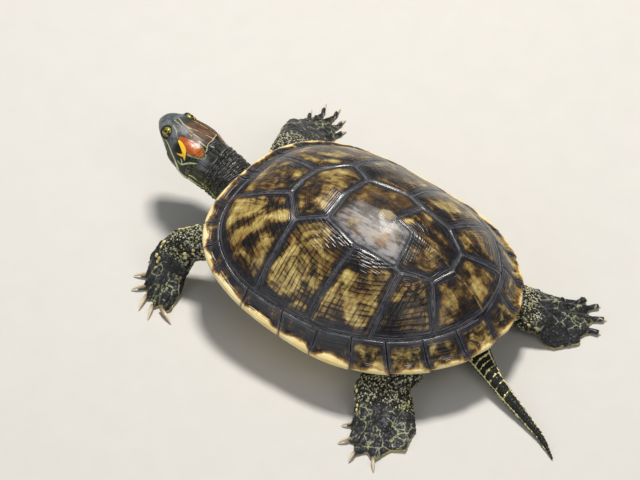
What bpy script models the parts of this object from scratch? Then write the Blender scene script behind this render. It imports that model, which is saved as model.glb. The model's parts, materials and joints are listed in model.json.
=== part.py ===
"""Red-eared slider turtle, adult male, life size, standing as a still museum model.

Metres, +Z up. The nose points along -Y and the animal's left side is +X. The shell's plates are thin
closed solids on one dome formula. The body under it is divided into trunk, neck, head, jaw, eyes,
legs, feet and tail by thin gaps. The soles and the end of the tail are flat at z = 0.
"""

import math

import bmesh
import bpy
from mathutils import Matrix, Vector

MM = 0.001

# Driving dimensions
SHELL_LENGTH = 0.190
SHELL_PITCH = math.radians(3.5)  # front of the shell raised
SHELL_LIFT = 0.020  # the shell's own base plane above the floor, at its middle
GAP = 0.0003  # clear space between neighbouring solids

# Carapace dome, as fractions of the shell's length
HALF_WIDTH = 0.407
WIDEST_AT = 0.055
FRONT_SQUARENESS = 2.95
REAR_SQUARENESS = 1.95
CROWN = 0.303
RIM_FRONT = 0.125
RIM_SIDE = 0.050
RIM_REAR = 0.074
FLARE_FRONT = 0.538
FLARE_SIDE = 0.855
FLARE_REAR = 0.449
DOME_REACH = 0.95
DOME_POWER = 1.97
DOME_ROUNDNESS = 1.23
DOME_BLEND = 0.04

PLATE_THICKNESS = 0.0020
PLATE_SWELL = 0.0007  # how far a plate's middle stands over its edge
KEEL_HEIGHT = 0.0016
KEEL_HALF_WIDTH = 0.007
KEEL_START = -0.09
KEEL_FULL = 0.05
EDGE_STEP = 0.013  # longest run of a plate's edge between two points
RING_STEP = 11.0  # degrees between two points of the inner ring
SLOPE_STEP = 0.0015  # half the span over which the dome's slope is taken
PLATE_RINGS = ((1.0, 0.0), (0.86, 0.75), (0.48, 1.0))  # share of the way out, share of the swelling

# Marginal plates: seams as (angle on the rim, angle on the inner ring), in degrees from the front
NUCHAL_HALF_ANGLE = 0.6
MARGINAL_SEAMS = (
    (12.5, 13.5), (25.3, 25.1), (40.6, 38.5), (54.2, 50.7), (73.0, 69.4), (86.3, 83.6),
    (94.0, 93.5), (112.0, 110.0), (128.0, 126.0), (144.5, 143.5), (162.0, 161.0), (180.0, 180.0),
)
INNER_RING_FRONT = 0.91
INNER_RING_REAR = 0.842
SERRATION = 0.016
TAIL_NOTCH = 0.022
# Section of the shell's border: share of the way from the inner ring to the rim, drop under the dome
BORDER_SECTION = (
    (0.0, 0.0),
    (0.5, -0.0004),
    (0.88, -0.0001),
    (1.0, 0.0012),
    (0.93, 0.0034),
    (0.45, 0.0052),
    (0.0, 0.0044),
)

# Seams between vertebral plates, from the left end to the right, as fractions of the shell's length.
# The third one steps along the keel, an irregularity of this animal.
VERTEBRAL_SEAMS = (
    ((0.064, -0.262), (0.0, -0.266), (-0.064, -0.262)),
    ((0.101, -0.096), (0.0, -0.106), (-0.101, -0.096)),
    ((0.122, 0.182), (0.005, 0.150), (-0.005, 0.082), (-0.116, 0.100)),
    ((0.074, 0.286), (0.0, 0.304), (-0.074, 0.286)),
)
VERTEBRAL_CORNERS = ((0.150, -0.180), (0.136, 0.042), (0.120, 0.200))  # left ones, mirrored on the right
PLEURAL_SEAM_ANGLES = (72.8, 89.3, 118.0)  # where the seams between pleurals meet the inner ring
FIRST_PLEURAL_ANGLE = 10.6
LAST_PLEURAL_ANGLE = 149.5

# Plastron, in the shell's own frame
PLASTRON_BASE = -0.0120
PLASTRON_THICKNESS = 0.0030
PLASTRON_FRONT = -0.080
PLASTRON_REAR = 0.0725
PLASTRON_NOTCH = 0.007  # depth of the notch in its rear edge
FRONT_LOBE = (0.042, 0.45, 2.4)  # half width, share of it left at the end, fullness
REAR_LOBE = (0.040, 0.40, 2.6)
WAIST_HALF = 0.041
EDGE_BEVEL = 0.0012
EDGE_LIFT = 0.0019  # the lobes' outer edge over their underside
LOBE_FADE = 0.009  # run over which a bridge turns into a lobe
BRIDGE_FRONT = -0.047
BRIDGE_REAR = 0.028
BRIDGE_WALL = 0.0026
BRIDGE_REACH = 0.905  # where it meets the marginals, as a share of the rim's radius
BRIDGE_DROP = 0.0066  # its end under the carapace's outer face

# Trunk, in the shell's own frame
TRUNK_FRONT = -0.074
TRUNK_REAR = 0.072
NECK_FACE_HALF = 0.019
TAIL_FACE_HALF = 0.017
SHOULDER_CORNER = (0.047, -0.050)
HIP_CORNER = (0.048, 0.042)
TRUNK_HALF_WIDTH = 0.055
TRUNK_LOW_HALF = 0.036  # half width along its base, clear of the bridges
TRUNK_SHOULDER = 0.012  # height at which it is at its full width
TRUNK_BASE = -0.0064
TRUNK_DEPTH = 0.0065  # top of the trunk under the carapace's outer face

# Heights of the flat faces' middles on the trunk, in the shell's own frame
SHOULDER_HEIGHT = 0.0055
HIP_HEIGHT = 0.0035
TAIL_ROOT_HEIGHT = 0.0015
NECK_ROOT_HEIGHT = 0.0062

# Fullness of the cross-sections: 2 is an ellipse, more is squarer
LEG_SQUARENESS = 2.3
NECK_SQUARENESS = 2.2
TAIL_SQUARENESS = 2.0

# Feet
FOOT_ROWS = (0.0, 0.16, 0.36, 0.58, 0.80, 0.94, 1.0)  # shares of the way from the wrist to the toes
FOOT_FULLNESS = 2.4
SOLE_START = 0.36  # share of the way at which the sole reaches the floor
TOE_RIDGE = 0.0010
TOE_THICKNESS = 0.0030
TOE_END_THICKNESS = 0.0022
FRONT_WEB = 0.20  # how far the web is drawn back between two toes
HIND_WEB = 0.11

# Claws: base radius and height of the middle line at the base
FRONT_CLAW = (0.00135, 0.0024)
HIND_CLAW = (0.00125, 0.0022)
CLAW_SIDES = 6
# Share of the way from toe to tip, share of the base's height, share of the base's radius
CLAW_STAGES = (
    (-0.30, 1.00, 1.0),
    (0.15, 1.05, 0.94),
    (0.50, 0.95, 0.68),
    (0.80, 0.55, 0.45),
    (1.00, 0.16, 0.26),
)

# Head, in its own frame: origin at the nape, nose along -Y
HEAD_PLACE = (-0.0015, -0.1226, 0.0452)
HEAD_YAW = math.radians(-10.0)
HEAD_PITCH = math.radians(-8.0)
CLAW_CLEARANCE = 0.0002  # under the claws, so that only the soles and the tail bear
EYE_RADIUS = 0.0040
EYE_PLACE = (0.0079, -0.0238, 0.0038)

FINISHES = {
    "scute": ((0.060, 0.045, 0.026), 0.30),
    "plastron": ((0.72, 0.55, 0.22), 0.40),
    "skin": ((0.035, 0.038, 0.028), 0.55),
    "jaw": ((0.16, 0.17, 0.07), 0.45),
    "eye": ((0.36, 0.42, 0.05), 0.10),
}


# ---------------------------------------------------------------- scene and objects


def clear_scene():
    for obj in list(bpy.data.objects):
        bpy.data.objects.remove(obj, do_unlink=True)


def finish_named(name):
    colour, roughness = FINISHES[name]
    material = bpy.data.materials.new(name)
    material.use_nodes = True
    shader = material.node_tree.nodes["Principled BSDF"]
    shader.inputs["Base Color"].default_value = (*colour, 1.0)
    shader.inputs["Roughness"].default_value = roughness
    shader.inputs["Metallic"].default_value = 0.0
    return material


def empty(name, place, turn, parent):
    obj = bpy.data.objects.new(name, None)
    bpy.context.scene.collection.objects.link(obj)
    obj.location = place
    obj.rotation_euler = turn
    obj.parent = parent
    return obj


def solid(name, mesh, finish, parent, sharp_degrees=40.0):
    """Make a mesh a named, smooth-shaded sub-part with its own material."""
    obj = bpy.data.objects.new(name, mesh)
    bpy.context.scene.collection.objects.link(obj)
    obj.parent = parent
    mesh.materials.append(finish_named(finish))
    mesh.shade_smooth()
    mesh.set_sharp_from_angle(angle=math.radians(sharp_degrees))
    return obj


def closed_mesh(name, points, faces):
    """A mesh from points and faces, with its faces turned outwards."""
    mesh = bpy.data.meshes.new(name)
    mesh.from_pydata([tuple(p) for p in points], [], faces)
    bm = bmesh.new()
    bm.from_mesh(mesh)
    bmesh.ops.recalc_face_normals(bm, faces=bm.faces[:])
    if bm.calc_volume(signed=True) < 0.0:
        bmesh.ops.reverse_faces(bm, faces=bm.faces[:])
    bm.to_mesh(mesh)
    bm.free()
    return mesh


def lofted_mesh(name, rings, strip_end=False):
    """A closed skin over rings of the same number of points, with a cap on each end.

    strip_end closes the last ring with a strip of quads between its first half and its second.
    """
    count = len(rings[0])
    points = [p for ring in rings for p in ring]
    faces = []
    for row in range(len(rings) - 1):
        for i in range(count):
            j = (i + 1) % count
            low = row * count
            high = low + count
            faces.append((low + i, low + j, high + j, high + i))
    faces.append(tuple(range(count)))
    last = (len(rings) - 1) * count
    if strip_end:
        for i in range(count // 2 - 1):
            j = count - 1 - i
            faces.append((last + i, last + i + 1, last + j - 1, last + j))
    else:
        faces.append(tuple(range(last, last + count)))
    return closed_mesh(name, points, faces)


def cutter(name, mesh, parent):
    obj = bpy.data.objects.new(name, mesh)
    bpy.context.scene.collection.objects.link(obj)
    obj.parent = parent
    obj.hide_render = True
    obj.display_type = "WIRE"
    return obj


def boolean(obj, other, operation):
    step = obj.modifiers.new(operation.lower() + "_" + other.name, "BOOLEAN")
    step.object = other
    step.operation = operation
    step.solver = "EXACT"


def smooth_step(low, high, value):
    t = min(1.0, max(0.0, (value - low) / (high - low)))
    return t * t * (3.0 - 2.0 * t)


def mix(a, b, t):
    return a + (b - a) * t


# ---------------------------------------------------------------- carapace dome


def rim_radius(x, y):
    """0 at the middle of the carapace, 1 on its rim (superellipses, in fractions of the length)."""
    rear = y > WIDEST_AT
    power = REAR_SQUARENESS if rear else FRONT_SQUARENESS
    reach = 0.5 - WIDEST_AT if rear else 0.5 + WIDEST_AT
    across = abs(x) / HALF_WIDTH
    along = abs(y - WIDEST_AT) / reach
    return (across**power + along**power) ** (1.0 / power), across, along


def dome_height(x_m, y_m):
    """Height of the carapace's outer face over the shell's base plane."""
    x = x_m / SHELL_LENGTH
    y = y_m / SHELL_LENGTH
    r, across, along = rim_radius(x, y)
    side = across**2 / (across**2 + along**2 + 1e-9)
    front = y < WIDEST_AT
    rim = mix(RIM_FRONT if front else RIM_REAR, RIM_SIDE, side)
    flare = mix(FLARE_FRONT if front else FLARE_REAR, FLARE_SIDE, side)
    dome = max(0.0, 1.0 - (r / DOME_REACH) ** DOME_POWER) ** (1.0 / DOME_ROUNDNESS)
    skirt = flare * (1.0 - r)
    share = 0.5 * (dome + skirt + math.sqrt((dome - skirt) ** 2 + DOME_BLEND**2))
    return SHELL_LENGTH * (rim + (CROWN - rim) * share)


def dome_normal(x, y):
    step = SLOPE_STEP
    slope_x = (dome_height(x + step, y) - dome_height(x - step, y)) / (2.0 * step)
    slope_y = (dome_height(x, y + step) - dome_height(x, y - step)) / (2.0 * step)
    return Vector((-slope_x, -slope_y, 1.0)).normalized()


def dome_point(x, y, lift=0.0):
    """The point of the dome over (x, y), moved out along the surface's normal by lift."""
    return Vector((x, y, dome_height(x, y))) + dome_normal(x, y) * lift


def keel_lift(x, y):
    """The low ridge along the midline, higher towards the tail."""
    height = KEEL_HEIGHT * smooth_step(KEEL_START, KEEL_FULL, y)
    return height * math.exp(-((x / KEEL_HALF_WIDTH) ** 2))


def ring_point(degrees, r):
    """(x, y) at an angle from the front, on the curve of radius r (1 is the rim). Left is positive."""
    angle = math.radians(degrees)
    rear = math.cos(angle) < 0.0
    power = REAR_SQUARENESS if rear else FRONT_SQUARENESS
    reach = 0.5 - WIDEST_AT if rear else 0.5 + WIDEST_AT
    x = HALF_WIDTH * abs(math.sin(angle)) ** (2.0 / power)
    y = reach * abs(math.cos(angle)) ** (2.0 / power)
    x = math.copysign(x, math.sin(angle))
    y = y if rear else -y
    return Vector((r * x, WIDEST_AT + r * y)) * SHELL_LENGTH


def inner_ring(degrees):
    """Radius of the seam between marginals and the plates inside them."""
    return mix(INNER_RING_FRONT, INNER_RING_REAR, smooth_step(60.0, 115.0, abs(degrees)))


# ---------------------------------------------------------------- vertebral and pleural plates


def ring_run(start, end):
    """Points of the inner ring between two angles, both included."""
    count = max(1, round(abs(end - start) / RING_STEP))
    angles = [mix(start, end, i / count) for i in range(count + 1)]
    return [ring_point(a, inner_ring(a)) for a in angles]


def straight_run(corners):
    """Corners joined by straight edges, cut into short steps. The last corner is left out."""
    points = []
    for a, b in zip(corners, corners[1:]):
        steps = max(1, math.ceil((b - a).length / EDGE_STEP))
        points += [a.lerp(b, i / steps) for i in range(steps)]
    return points


def on_side(pair, sign):
    """A seam corner of the left half, or its mirror image on the right."""
    return Vector((sign * pair[0], pair[1])) * SHELL_LENGTH


def seam(index):
    """Corners of a seam between two vertebral plates, from the left end to the right."""
    return [Vector(pair) * SHELL_LENGTH for pair in VERTEBRAL_SEAMS[index]]


def vertebral_outline(index):
    """Closed outline of one vertebral plate, 0 to 4 from the front."""
    if index == 0:
        front = ring_run(FIRST_PLEURAL_ANGLE, NUCHAL_HALF_ANGLE)
        front += ring_run(-NUCHAL_HALF_ANGLE, -FIRST_PLEURAL_ANGLE)
    else:
        corners = seam(index - 1)
        front = straight_run(corners) + [corners[-1]]
    if index == 4:
        rear = ring_run(-LAST_PLEURAL_ANGLE, -180.0) + ring_run(180.0, LAST_PLEURAL_ANGLE)[1:]
    else:
        corners = seam(index)[::-1]
        rear = straight_run(corners) + [corners[-1]]
    right_side = [front[-1], rear[0]]
    left_side = [rear[-1], front[0]]
    if 1 <= index <= 3:
        right_side.insert(1, on_side(VERTEBRAL_CORNERS[index - 1], -1.0))
        left_side.insert(1, on_side(VERTEBRAL_CORNERS[index - 1], 1.0))
    return front + straight_run(right_side)[1:] + rear + straight_run(left_side)[1:]


def pleural_outline(index, sign):
    """Closed outline of one pleural plate, 0 to 3 from the front. sign is 1 on the left."""
    angles = (FIRST_PLEURAL_ANGLE, *PLEURAL_SEAM_ANGLES, LAST_PLEURAL_ANGLE)
    outer = ring_run(sign * angles[index + 1], sign * angles[index])
    inner = [outer[-1]]
    if index > 0:
        inner.append(on_side(VERTEBRAL_CORNERS[index - 1], sign))
    inner.append(seam(index)[0 if sign > 0.0 else -1])
    if index < 3:
        inner.append(on_side(VERTEBRAL_CORNERS[index], sign))
    inner.append(outer[0])
    return outer + straight_run(inner)[1:]


def inset(outline, distance):
    """The outline moved inwards by a distance, corner by corner."""
    count = len(outline)
    area = sum(outline[i - 1].cross(outline[i]) for i in range(count))
    turn = 1.0 if area > 0.0 else -1.0
    moved = []
    for i, point in enumerate(outline):
        before = (point - outline[i - 1]).normalized()
        after = (outline[(i + 1) % count] - point).normalized()
        normals = [Vector((-d.y, d.x)) * turn for d in (before, after)]
        middle = (normals[0] + normals[1]).normalized()
        moved.append(point + middle * distance / max(0.5, middle.dot(normals[0])))
    return moved


def plate_mesh(name, outline):
    """A thin closed plate that follows the dome inside an outline, a little swollen in its middle."""
    edge = inset(outline, 0.5 * GAP)
    middle = sum(edge, Vector((0.0, 0.0))) / len(edge)
    count = len(edge)
    points = []
    for share, swell in PLATE_RINGS:
        for p in edge:
            q = middle.lerp(p, share)
            points.append(dome_point(q.x, q.y, swell * PLATE_SWELL + keel_lift(q.x, q.y)))
    points += [dome_point(p.x, p.y, -PLATE_THICKNESS) for p in edge]
    points.append(dome_point(middle.x, middle.y, PLATE_SWELL + keel_lift(middle.x, middle.y)))
    points.append(dome_point(middle.x, middle.y, -PLATE_THICKNESS))
    faces = []
    for i in range(count):
        j = (i + 1) % count
        for ring in range(2):
            low = ring * count
            faces.append((low + i, low + j, low + count + j, low + count + i))
        faces.append((2 * count + i, 2 * count + j, 4 * count))
        faces.append((i, 3 * count + i, 3 * count + j, j))
        faces.append((3 * count + j, 3 * count + i, 4 * count + 1))
    return closed_mesh(name, points, faces)


def add_dorsal_plates(parent):
    for index in range(5):
        name = f"vertebral_scute_{index + 1}"
        solid(name, plate_mesh(name, vertebral_outline(index)), "scute", parent)
    for index in range(4):
        for side, sign in (("left", 1.0), ("right", -1.0)):
            name = f"pleural_scute_{side}_{index + 1}"
            solid(name, plate_mesh(name, pleural_outline(index, sign)), "scute", parent)


# ---------------------------------------------------------------- marginal plates


def rim_reach(degrees, along):
    """Radius of the rim: sawn at the rear plates' back corners, notched over the tail."""
    saw = SERRATION * smooth_step(95.0, 130.0, degrees) * (along - 0.5)
    notch = TAIL_NOTCH * smooth_step(172.0, 180.0, degrees)
    return 1.0 + saw - notch


def marginal_section(rim_angle, inner_angle, along, side):
    """Closed cross-section of the shell's border: over the top, round the rim and back below."""
    outer_r = rim_reach(abs(rim_angle), along)
    inner_r = inner_ring(inner_angle) + 0.5 * GAP / (HALF_WIDTH * SHELL_LENGTH)
    inner = ring_point(inner_angle, inner_r)
    outer = ring_point(rim_angle, outer_r)
    section = []
    for share, drop in BORDER_SECTION:
        p = inner.lerp(outer, share)
        section.append(Vector((side * p.x, p.y, dome_height(p.x, p.y) - drop)))
    return section


def marginal_mesh(name, start, end, side, steps):
    """One marginal plate, lofted along the rim from one seam to the next."""
    width = (ring_point(end[0], 1.0) - ring_point(start[0], 1.0)).length
    margin = 0.5 * GAP / width
    rings = []
    for i in range(steps + 1):
        t = mix(margin, 1.0 - margin, i / steps)
        angles = [mix(a, b, t) for a, b in zip(start, end)]
        rings.append(marginal_section(angles[0], angles[1], t, side))
    return lofted_mesh(name, rings)


def add_marginal_plates(parent):
    nuchal = NUCHAL_HALF_ANGLE
    mesh = marginal_mesh("nuchal_scute", (-nuchal, -nuchal), (nuchal, nuchal), 1.0, 2)
    solid("nuchal_scute", mesh, "scute", parent)
    start = (nuchal, nuchal)
    for index, end in enumerate(MARGINAL_SEAMS):
        for side, sign in (("left", 1.0), ("right", -1.0)):
            name = f"marginal_scute_{side}_{index + 1}"
            solid(name, marginal_mesh(name, start, end, sign, 3), "scute", parent)
        start = end


# ---------------------------------------------------------------- plastron


def lobe_half_width(lobe, t):
    """Half width of one lobe at t, 0 at its free end and 1 at the bridge."""
    half, end_share, fullness = lobe
    return half * (end_share + (1.0 - end_share) * (1.0 - (1.0 - t) ** fullness))


def plastron_half_width(y):
    """Half width of the flat underside: a rounded front lobe, a waist and a longer rear lobe."""
    if y < BRIDGE_FRONT:
        return lobe_half_width(FRONT_LOBE, (y - PLASTRON_FRONT) / (BRIDGE_FRONT - PLASTRON_FRONT))
    if y > BRIDGE_REAR:
        return lobe_half_width(REAR_LOBE, (PLASTRON_REAR - y) / (PLASTRON_REAR - BRIDGE_REAR))
    return WAIST_HALF


def bridge_end(y):
    """Where the bridge meets the marginals from below."""
    rear = y > WIDEST_AT * SHELL_LENGTH
    reach = 0.5 - WIDEST_AT if rear else 0.5 + WIDEST_AT
    power = REAR_SQUARENESS if rear else FRONT_SQUARENESS
    along = abs(y / SHELL_LENGTH - WIDEST_AT) / (reach * BRIDGE_REACH)
    across = max(0.0, 1.0 - along**power) ** (1.0 / power)
    x = BRIDGE_REACH * HALF_WIDTH * SHELL_LENGTH * across
    return x, dome_height(x, y) - BRIDGE_DROP


def plastron_section(y):
    """Closed cross-section: flat in the middle, and turned up to the marginals at the bridges."""
    half = plastron_half_width(y)
    rise = smooth_step(BRIDGE_FRONT - LOBE_FADE, BRIDGE_FRONT + 0.004, y)
    rise *= 1.0 - smooth_step(BRIDGE_REAR - 0.004, BRIDGE_REAR + LOBE_FADE, y)
    end_x, end_z = bridge_end(y)
    base = PLASTRON_BASE
    top = base + PLASTRON_THICKNESS
    tip_x = mix(half + EDGE_BEVEL, end_x, rise)
    tip_z = mix(base + EDGE_LIFT, end_z, rise)
    knee_x = mix(half, half + 0.35 * (tip_x - half), rise)
    knee_z = mix(base + 0.5 * EDGE_BEVEL, base + 0.22 * (tip_z - base), rise)
    inner = mix(0.0, BRIDGE_WALL, rise)
    right_half = [
        (0.55 * half, base),
        (knee_x, knee_z),
        (tip_x, tip_z),
        (tip_x - EDGE_BEVEL - inner, tip_z + mix(0.0011, 0.0, rise)),
        (knee_x - inner, knee_z + 2.0 * EDGE_BEVEL),
        (0.55 * half, top),
    ]
    notch = PLASTRON_NOTCH * smooth_step(PLASTRON_REAR - 2.0 * PLASTRON_NOTCH, PLASTRON_REAR, y)
    points = [(0.0, base)] + right_half + [(0.0, top)]
    points += [(-x, z) for x, z in reversed(right_half)]
    return [Vector((x, y - notch * max(0.0, 1.0 - abs(x) / half), z)) for x, z in points]


def add_plastron(parent):
    ends = (PLASTRON_FRONT, PLASTRON_FRONT + 0.004)
    front = [mix(PLASTRON_FRONT + 0.012, BRIDGE_FRONT - LOBE_FADE, i / 3) for i in range(4)]
    middle = [mix(BRIDGE_FRONT - 0.003, BRIDGE_REAR + 0.003, i / 6) for i in range(7)]
    rear = [mix(BRIDGE_REAR + LOBE_FADE, PLASTRON_REAR - 0.010, i / 3) for i in range(4)]
    stations = [*ends, *front, *middle, *rear, PLASTRON_REAR - 0.004, PLASTRON_REAR]
    mesh = lofted_mesh("plastron", [plastron_section(y) for y in stations])
    solid("plastron", mesh, "plastron", parent)


# ---------------------------------------------------------------- trunk


def trunk_side_limit(z):
    """How far out the trunk reaches at a height, clear of the bridges."""
    return mix(TRUNK_LOW_HALF, TRUNK_HALF_WIDTH, smooth_step(TRUNK_BASE - 0.001, TRUNK_SHOULDER, z))


def trunk_outline(z, share):
    """Eight-sided plan with flat faces for the neck, the legs and the tail."""
    limit = trunk_side_limit(z)
    neck = Vector((NECK_FACE_HALF, TRUNK_FRONT))
    tail = Vector((TAIL_FACE_HALF, TRUNK_REAR))
    shoulder = neck.lerp(
        Vector(SHOULDER_CORNER), min(1.0, (limit - neck.x) / (SHOULDER_CORNER[0] - neck.x)))
    hip = tail.lerp(Vector(HIP_CORNER), min(1.0, (limit - tail.x) / (HIP_CORNER[0] - tail.x)))
    half = [neck, neck.lerp(shoulder, 0.5), shoulder, Vector((limit, -0.026)), Vector((limit, 0.0)),
            Vector((limit, 0.022)), hip, hip.lerp(tail, 0.5), tail]
    centre = Vector((0.0, 0.0))
    right_half = [Vector((-p.x, p.y)) for p in reversed(half)]
    return [centre.lerp(p, share) for p in half + right_half]


def trunk_ring(z, share):
    """The trunk's plan at a height, or just under the carapace where that is lower."""
    ring = []
    for p in trunk_outline(z, share):
        roof = dome_height(p.x, p.y) - TRUNK_DEPTH
        ring.append(Vector((p.x, p.y, min(z, roof))))
    return ring


def add_trunk(parent):
    rings = [trunk_ring(TRUNK_BASE, 0.97)]
    rings += [trunk_ring(z, 1.0) for z in (TRUNK_BASE + 0.0008, -0.003, 0.003, TRUNK_SHOULDER, 0.022)]
    rings += [trunk_ring(SHELL_LENGTH, share) for share in (0.88, 0.70, 0.45, 0.20)]
    solid("trunk", lofted_mesh("trunk", rings), "skin", parent)


# ---------------------------------------------------------------- limbs and tail


def face_centre(corner_a, corner_b, height):
    """World centre and outward direction of one of the trunk's flat faces, on the animal's left."""
    a = Vector(corner_a)
    b = Vector(corner_b)
    middle = (a + b) / 2.0
    edge = (b - a).normalized()
    outward = Vector((-edge.y, edge.x))
    if outward.dot(middle) < 0.0:
        outward = -outward
    turn = Matrix.Rotation(-SHELL_PITCH, 3, "X")
    place = turn @ Vector((middle.x, middle.y, height)) + Vector((0.0, 0.0, SHELL_LIFT))
    return place, turn @ Vector((outward.x, outward.y, 0.0))


def mirrored(vector, side):
    return Vector((side * vector.x, vector.y, vector.z))


def section_ring(centre, ahead, across, half_width, half_up, half_down, squareness, count):
    """A superellipse ring across the direction ahead, its width along across."""
    ahead = ahead.normalized()
    wide = (across - ahead * across.dot(ahead)).normalized()
    tall = ahead.cross(wide)
    if tall.z < 0.0:
        tall = -tall
    ring = []
    for i in range(count):
        angle = 2.0 * math.pi * i / count
        c = math.copysign(abs(math.cos(angle)) ** (2.0 / squareness), math.cos(angle))
        s = math.copysign(abs(math.sin(angle)) ** (2.0 / squareness), math.sin(angle))
        height = half_up if s > 0.0 else half_down
        ring.append(centre + wide * (half_width * c) + tall * (height * s))
    return ring


def limb_rings(stations, squareness, count):
    """Rings for stations of (centre, ahead, across, half width, half up, half down)."""
    return [section_ring(*station, squareness, count) for station in stations]


def vec_mm(x, y, z):
    return Vector((x, y, z)) * MM


def foot_mesh(name, wrist, ahead, across, sizes, toes, web_depth, first_border, last_border):
    """A webbed foot from the wrist's ring to the toe ends, flat below at z = 0.

    sizes is (half width, half thickness) at the wrist. toes are plan positions of the toe ends, from
    the leading toe to the trailing one. The borders are plan positions of the web's outer corners.
    """
    half_width, half_thick = sizes
    ahead = ahead.normalized()
    wide = (across - ahead * across.dot(ahead)).normalized()
    tall = ahead.cross(wide)
    if tall.z < 0.0:
        tall = -tall
    lanes = []
    ends = [first_border]
    for i, toe in enumerate(toes):
        ends.append(toe)
        if i + 1 < len(toes):
            ends.append(None)
    ends.append(last_border)
    count = len(ends)
    for i, end in enumerate(ends):
        u = i / (count - 1)
        s = 1.0 - 2.0 * u
        profile = math.sqrt(max(0.0, 1.0 - abs(s) ** FOOT_FULLNESS))
        root = wrist + wide * (half_width * s)
        if end is None:
            between = (Vector(ends[i - 1]) + Vector(ends[i + 1])) / 2.0
            end = between.lerp(Vector((root.x, root.y)), web_depth)
        lanes.append((root, Vector(end), max(profile, 0.12), i % 2 == 1))
    rings = []
    for v in FOOT_ROWS:
        fall = (1.0 - v) ** 1.35
        sole = max(0.0, 1.0 - v / SOLE_START) ** 1.6
        over = []
        under = []
        for root, end, profile, is_toe in lanes:
            plan = Vector((root.x, root.y)).lerp(end, v)
            top_root = root + tall * (half_thick * profile)
            low_root = root - tall * (half_thick * profile)
            lean_top = (top_root - root) * (1.0 - v)
            lean_low = (low_root - root) * (1.0 - v)
            ridge = TOE_RIDGE * smooth_step(0.1, 0.6, v) * (1.0 if is_toe else -0.55)
            end_height = TOE_THICKNESS if v < 1.0 else TOE_END_THICKNESS
            top = mix(end_height + ridge, top_root.z, fall)
            low = low_root.z * sole
            over.append(Vector((plan.x + lean_top.x, plan.y + lean_top.y, top)))
            under.append(Vector((plan.x + lean_low.x, plan.y + lean_low.y, low)))
        rings.append(over + under[::-1])
    return lofted_mesh(name, rings, strip_end=True)


def claw_mesh(name, claws, base_radius, base_height):
    """Curved, tapering claws, one for each pair of plan positions (toe end, claw tip)."""
    points = []
    faces = []
    sides = CLAW_SIDES
    for toe, tip in claws:
        start = Vector((toe[0], toe[1], 0.0))
        ahead = Vector((tip[0], tip[1], 0.0)) - start
        reach = ahead.length
        ahead.normalize()
        across = ahead.cross(Vector((0.0, 0.0, 1.0)))
        first = len(points)
        for share, height, size in CLAW_STAGES:
            middle = start + ahead * (reach * share)
            middle.z = max(base_height * height, base_radius * size + CLAW_CLEARANCE)
            for k in range(sides):
                angle = 2.0 * math.pi * k / sides
                swing = across * (math.cos(angle) * base_radius * size * 0.9)
                points.append(middle + swing + Vector((0.0, 0.0, math.sin(angle) * base_radius * size)))
        for stage in range(len(CLAW_STAGES) - 1):
            low = first + stage * sides
            for k in range(sides):
                j = (k + 1) % sides
                faces.append((low + k, low + j, low + sides + j, low + sides + k))
        faces.append(tuple(range(first, first + sides)))
        last = first + (len(CLAW_STAGES) - 1) * sides
        faces.append(tuple(range(last, last + sides)))
    return closed_mesh(name, points, faces)


def add_leg_and_foot(name, stations, web_depth, toes, claws, borders, parent, claw_size):
    """One leg, cut at the wrist, and its foot with the claws joined on."""
    leg = lofted_mesh(name + "_leg", limb_rings(stations, LEG_SQUARENESS, 16))
    solid(name + "_leg", leg, "skin", parent, 60.0)
    centre, ahead, across, half_width, half_up, _ = stations[-1]
    wrist = centre + ahead.normalized() * GAP
    toes_m = [(x * MM, y * MM) for x, y in toes]
    borders_m = [(x * MM, y * MM) for x, y in borders]
    wrist_size = (half_width, half_up)
    mesh = foot_mesh(name + "_foot", wrist, ahead, across, wrist_size, toes_m, web_depth, *borders_m)
    foot_object = solid(name + "_foot", mesh, "skin", parent, 60.0)
    pairs = [(toe, (x * MM, y * MM)) for toe, (x, y) in zip(toes_m, claws)]
    nails = cutter(name + "_claws", claw_mesh(name + "_claws", pairs, *claw_size), parent)
    boolean(foot_object, nails, "UNION")


def root_station(corner_a, corner_b, height, side, half_width, half_height):
    """The leg's first ring: flat against one of the trunk's faces, a gap away."""
    place, outward = face_centre(corner_a, corner_b, height)
    place = mirrored(place, side)
    outward = mirrored(outward, side)
    across = Vector((0.0, 0.0, 1.0)).cross(outward)
    return (place + outward * GAP, outward, across, half_width, half_height, half_height)


def station(place, ahead, across, half_width, half_up, half_down=None):
    """A leg's ring from millimetre values."""
    half_down = half_up if half_down is None else half_down
    return (vec_mm(*place), Vector(ahead), Vector(across), half_width * MM, half_up * MM, half_down * MM)


def add_front_left(parent):
    """Bent arm: the upper arm goes forwards, the forearm drops outwards to a flat hand."""
    faces = ((NECK_FACE_HALF, TRUNK_FRONT), SHOULDER_CORNER, SHOULDER_HEIGHT)
    stations = [
        root_station(*faces, 1.0, 0.0130, 0.0115),
        station((38.0, -75.0, 29.0), (0.45, -0.88, 0.05), (-0.80, -0.45, 0.20), 11.6, 11.2),
        station((43.0, -88.0, 28.3), (0.50, -0.78, -0.20), (-0.55, -0.62, 0.45), 10.9, 9.8),
        station((48.0, -97.0, 24.5), (0.62, -0.52, -0.52), (-0.35, -0.80, 0.42), 11.3, 8.6),
        station((53.0, -100.8, 18.5), (0.68, -0.22, -0.68), (-0.12, -0.90, 0.40), 12.6, 7.2),
        station((59.0, -102.4, 11.6), (0.86, -0.06, -0.50), (-0.10, -0.94, 0.30), 13.4, 5.4),
    ]
    toes = ((64.5, -115.0), (73.5, -110.0), (80.0, -102.8), (84.0, -94.5), (82.2, -87.0))
    claws = ((68.5, -121.0), (78.5, -114.6), (89.0, -100.2), (91.5, -91.0), (86.0, -78.0))
    borders = ((60.5, -117.0), (77.5, -84.8))
    add_leg_and_foot("front_left", stations, FRONT_WEB, toes, claws, borders, parent, FRONT_CLAW)


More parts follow.
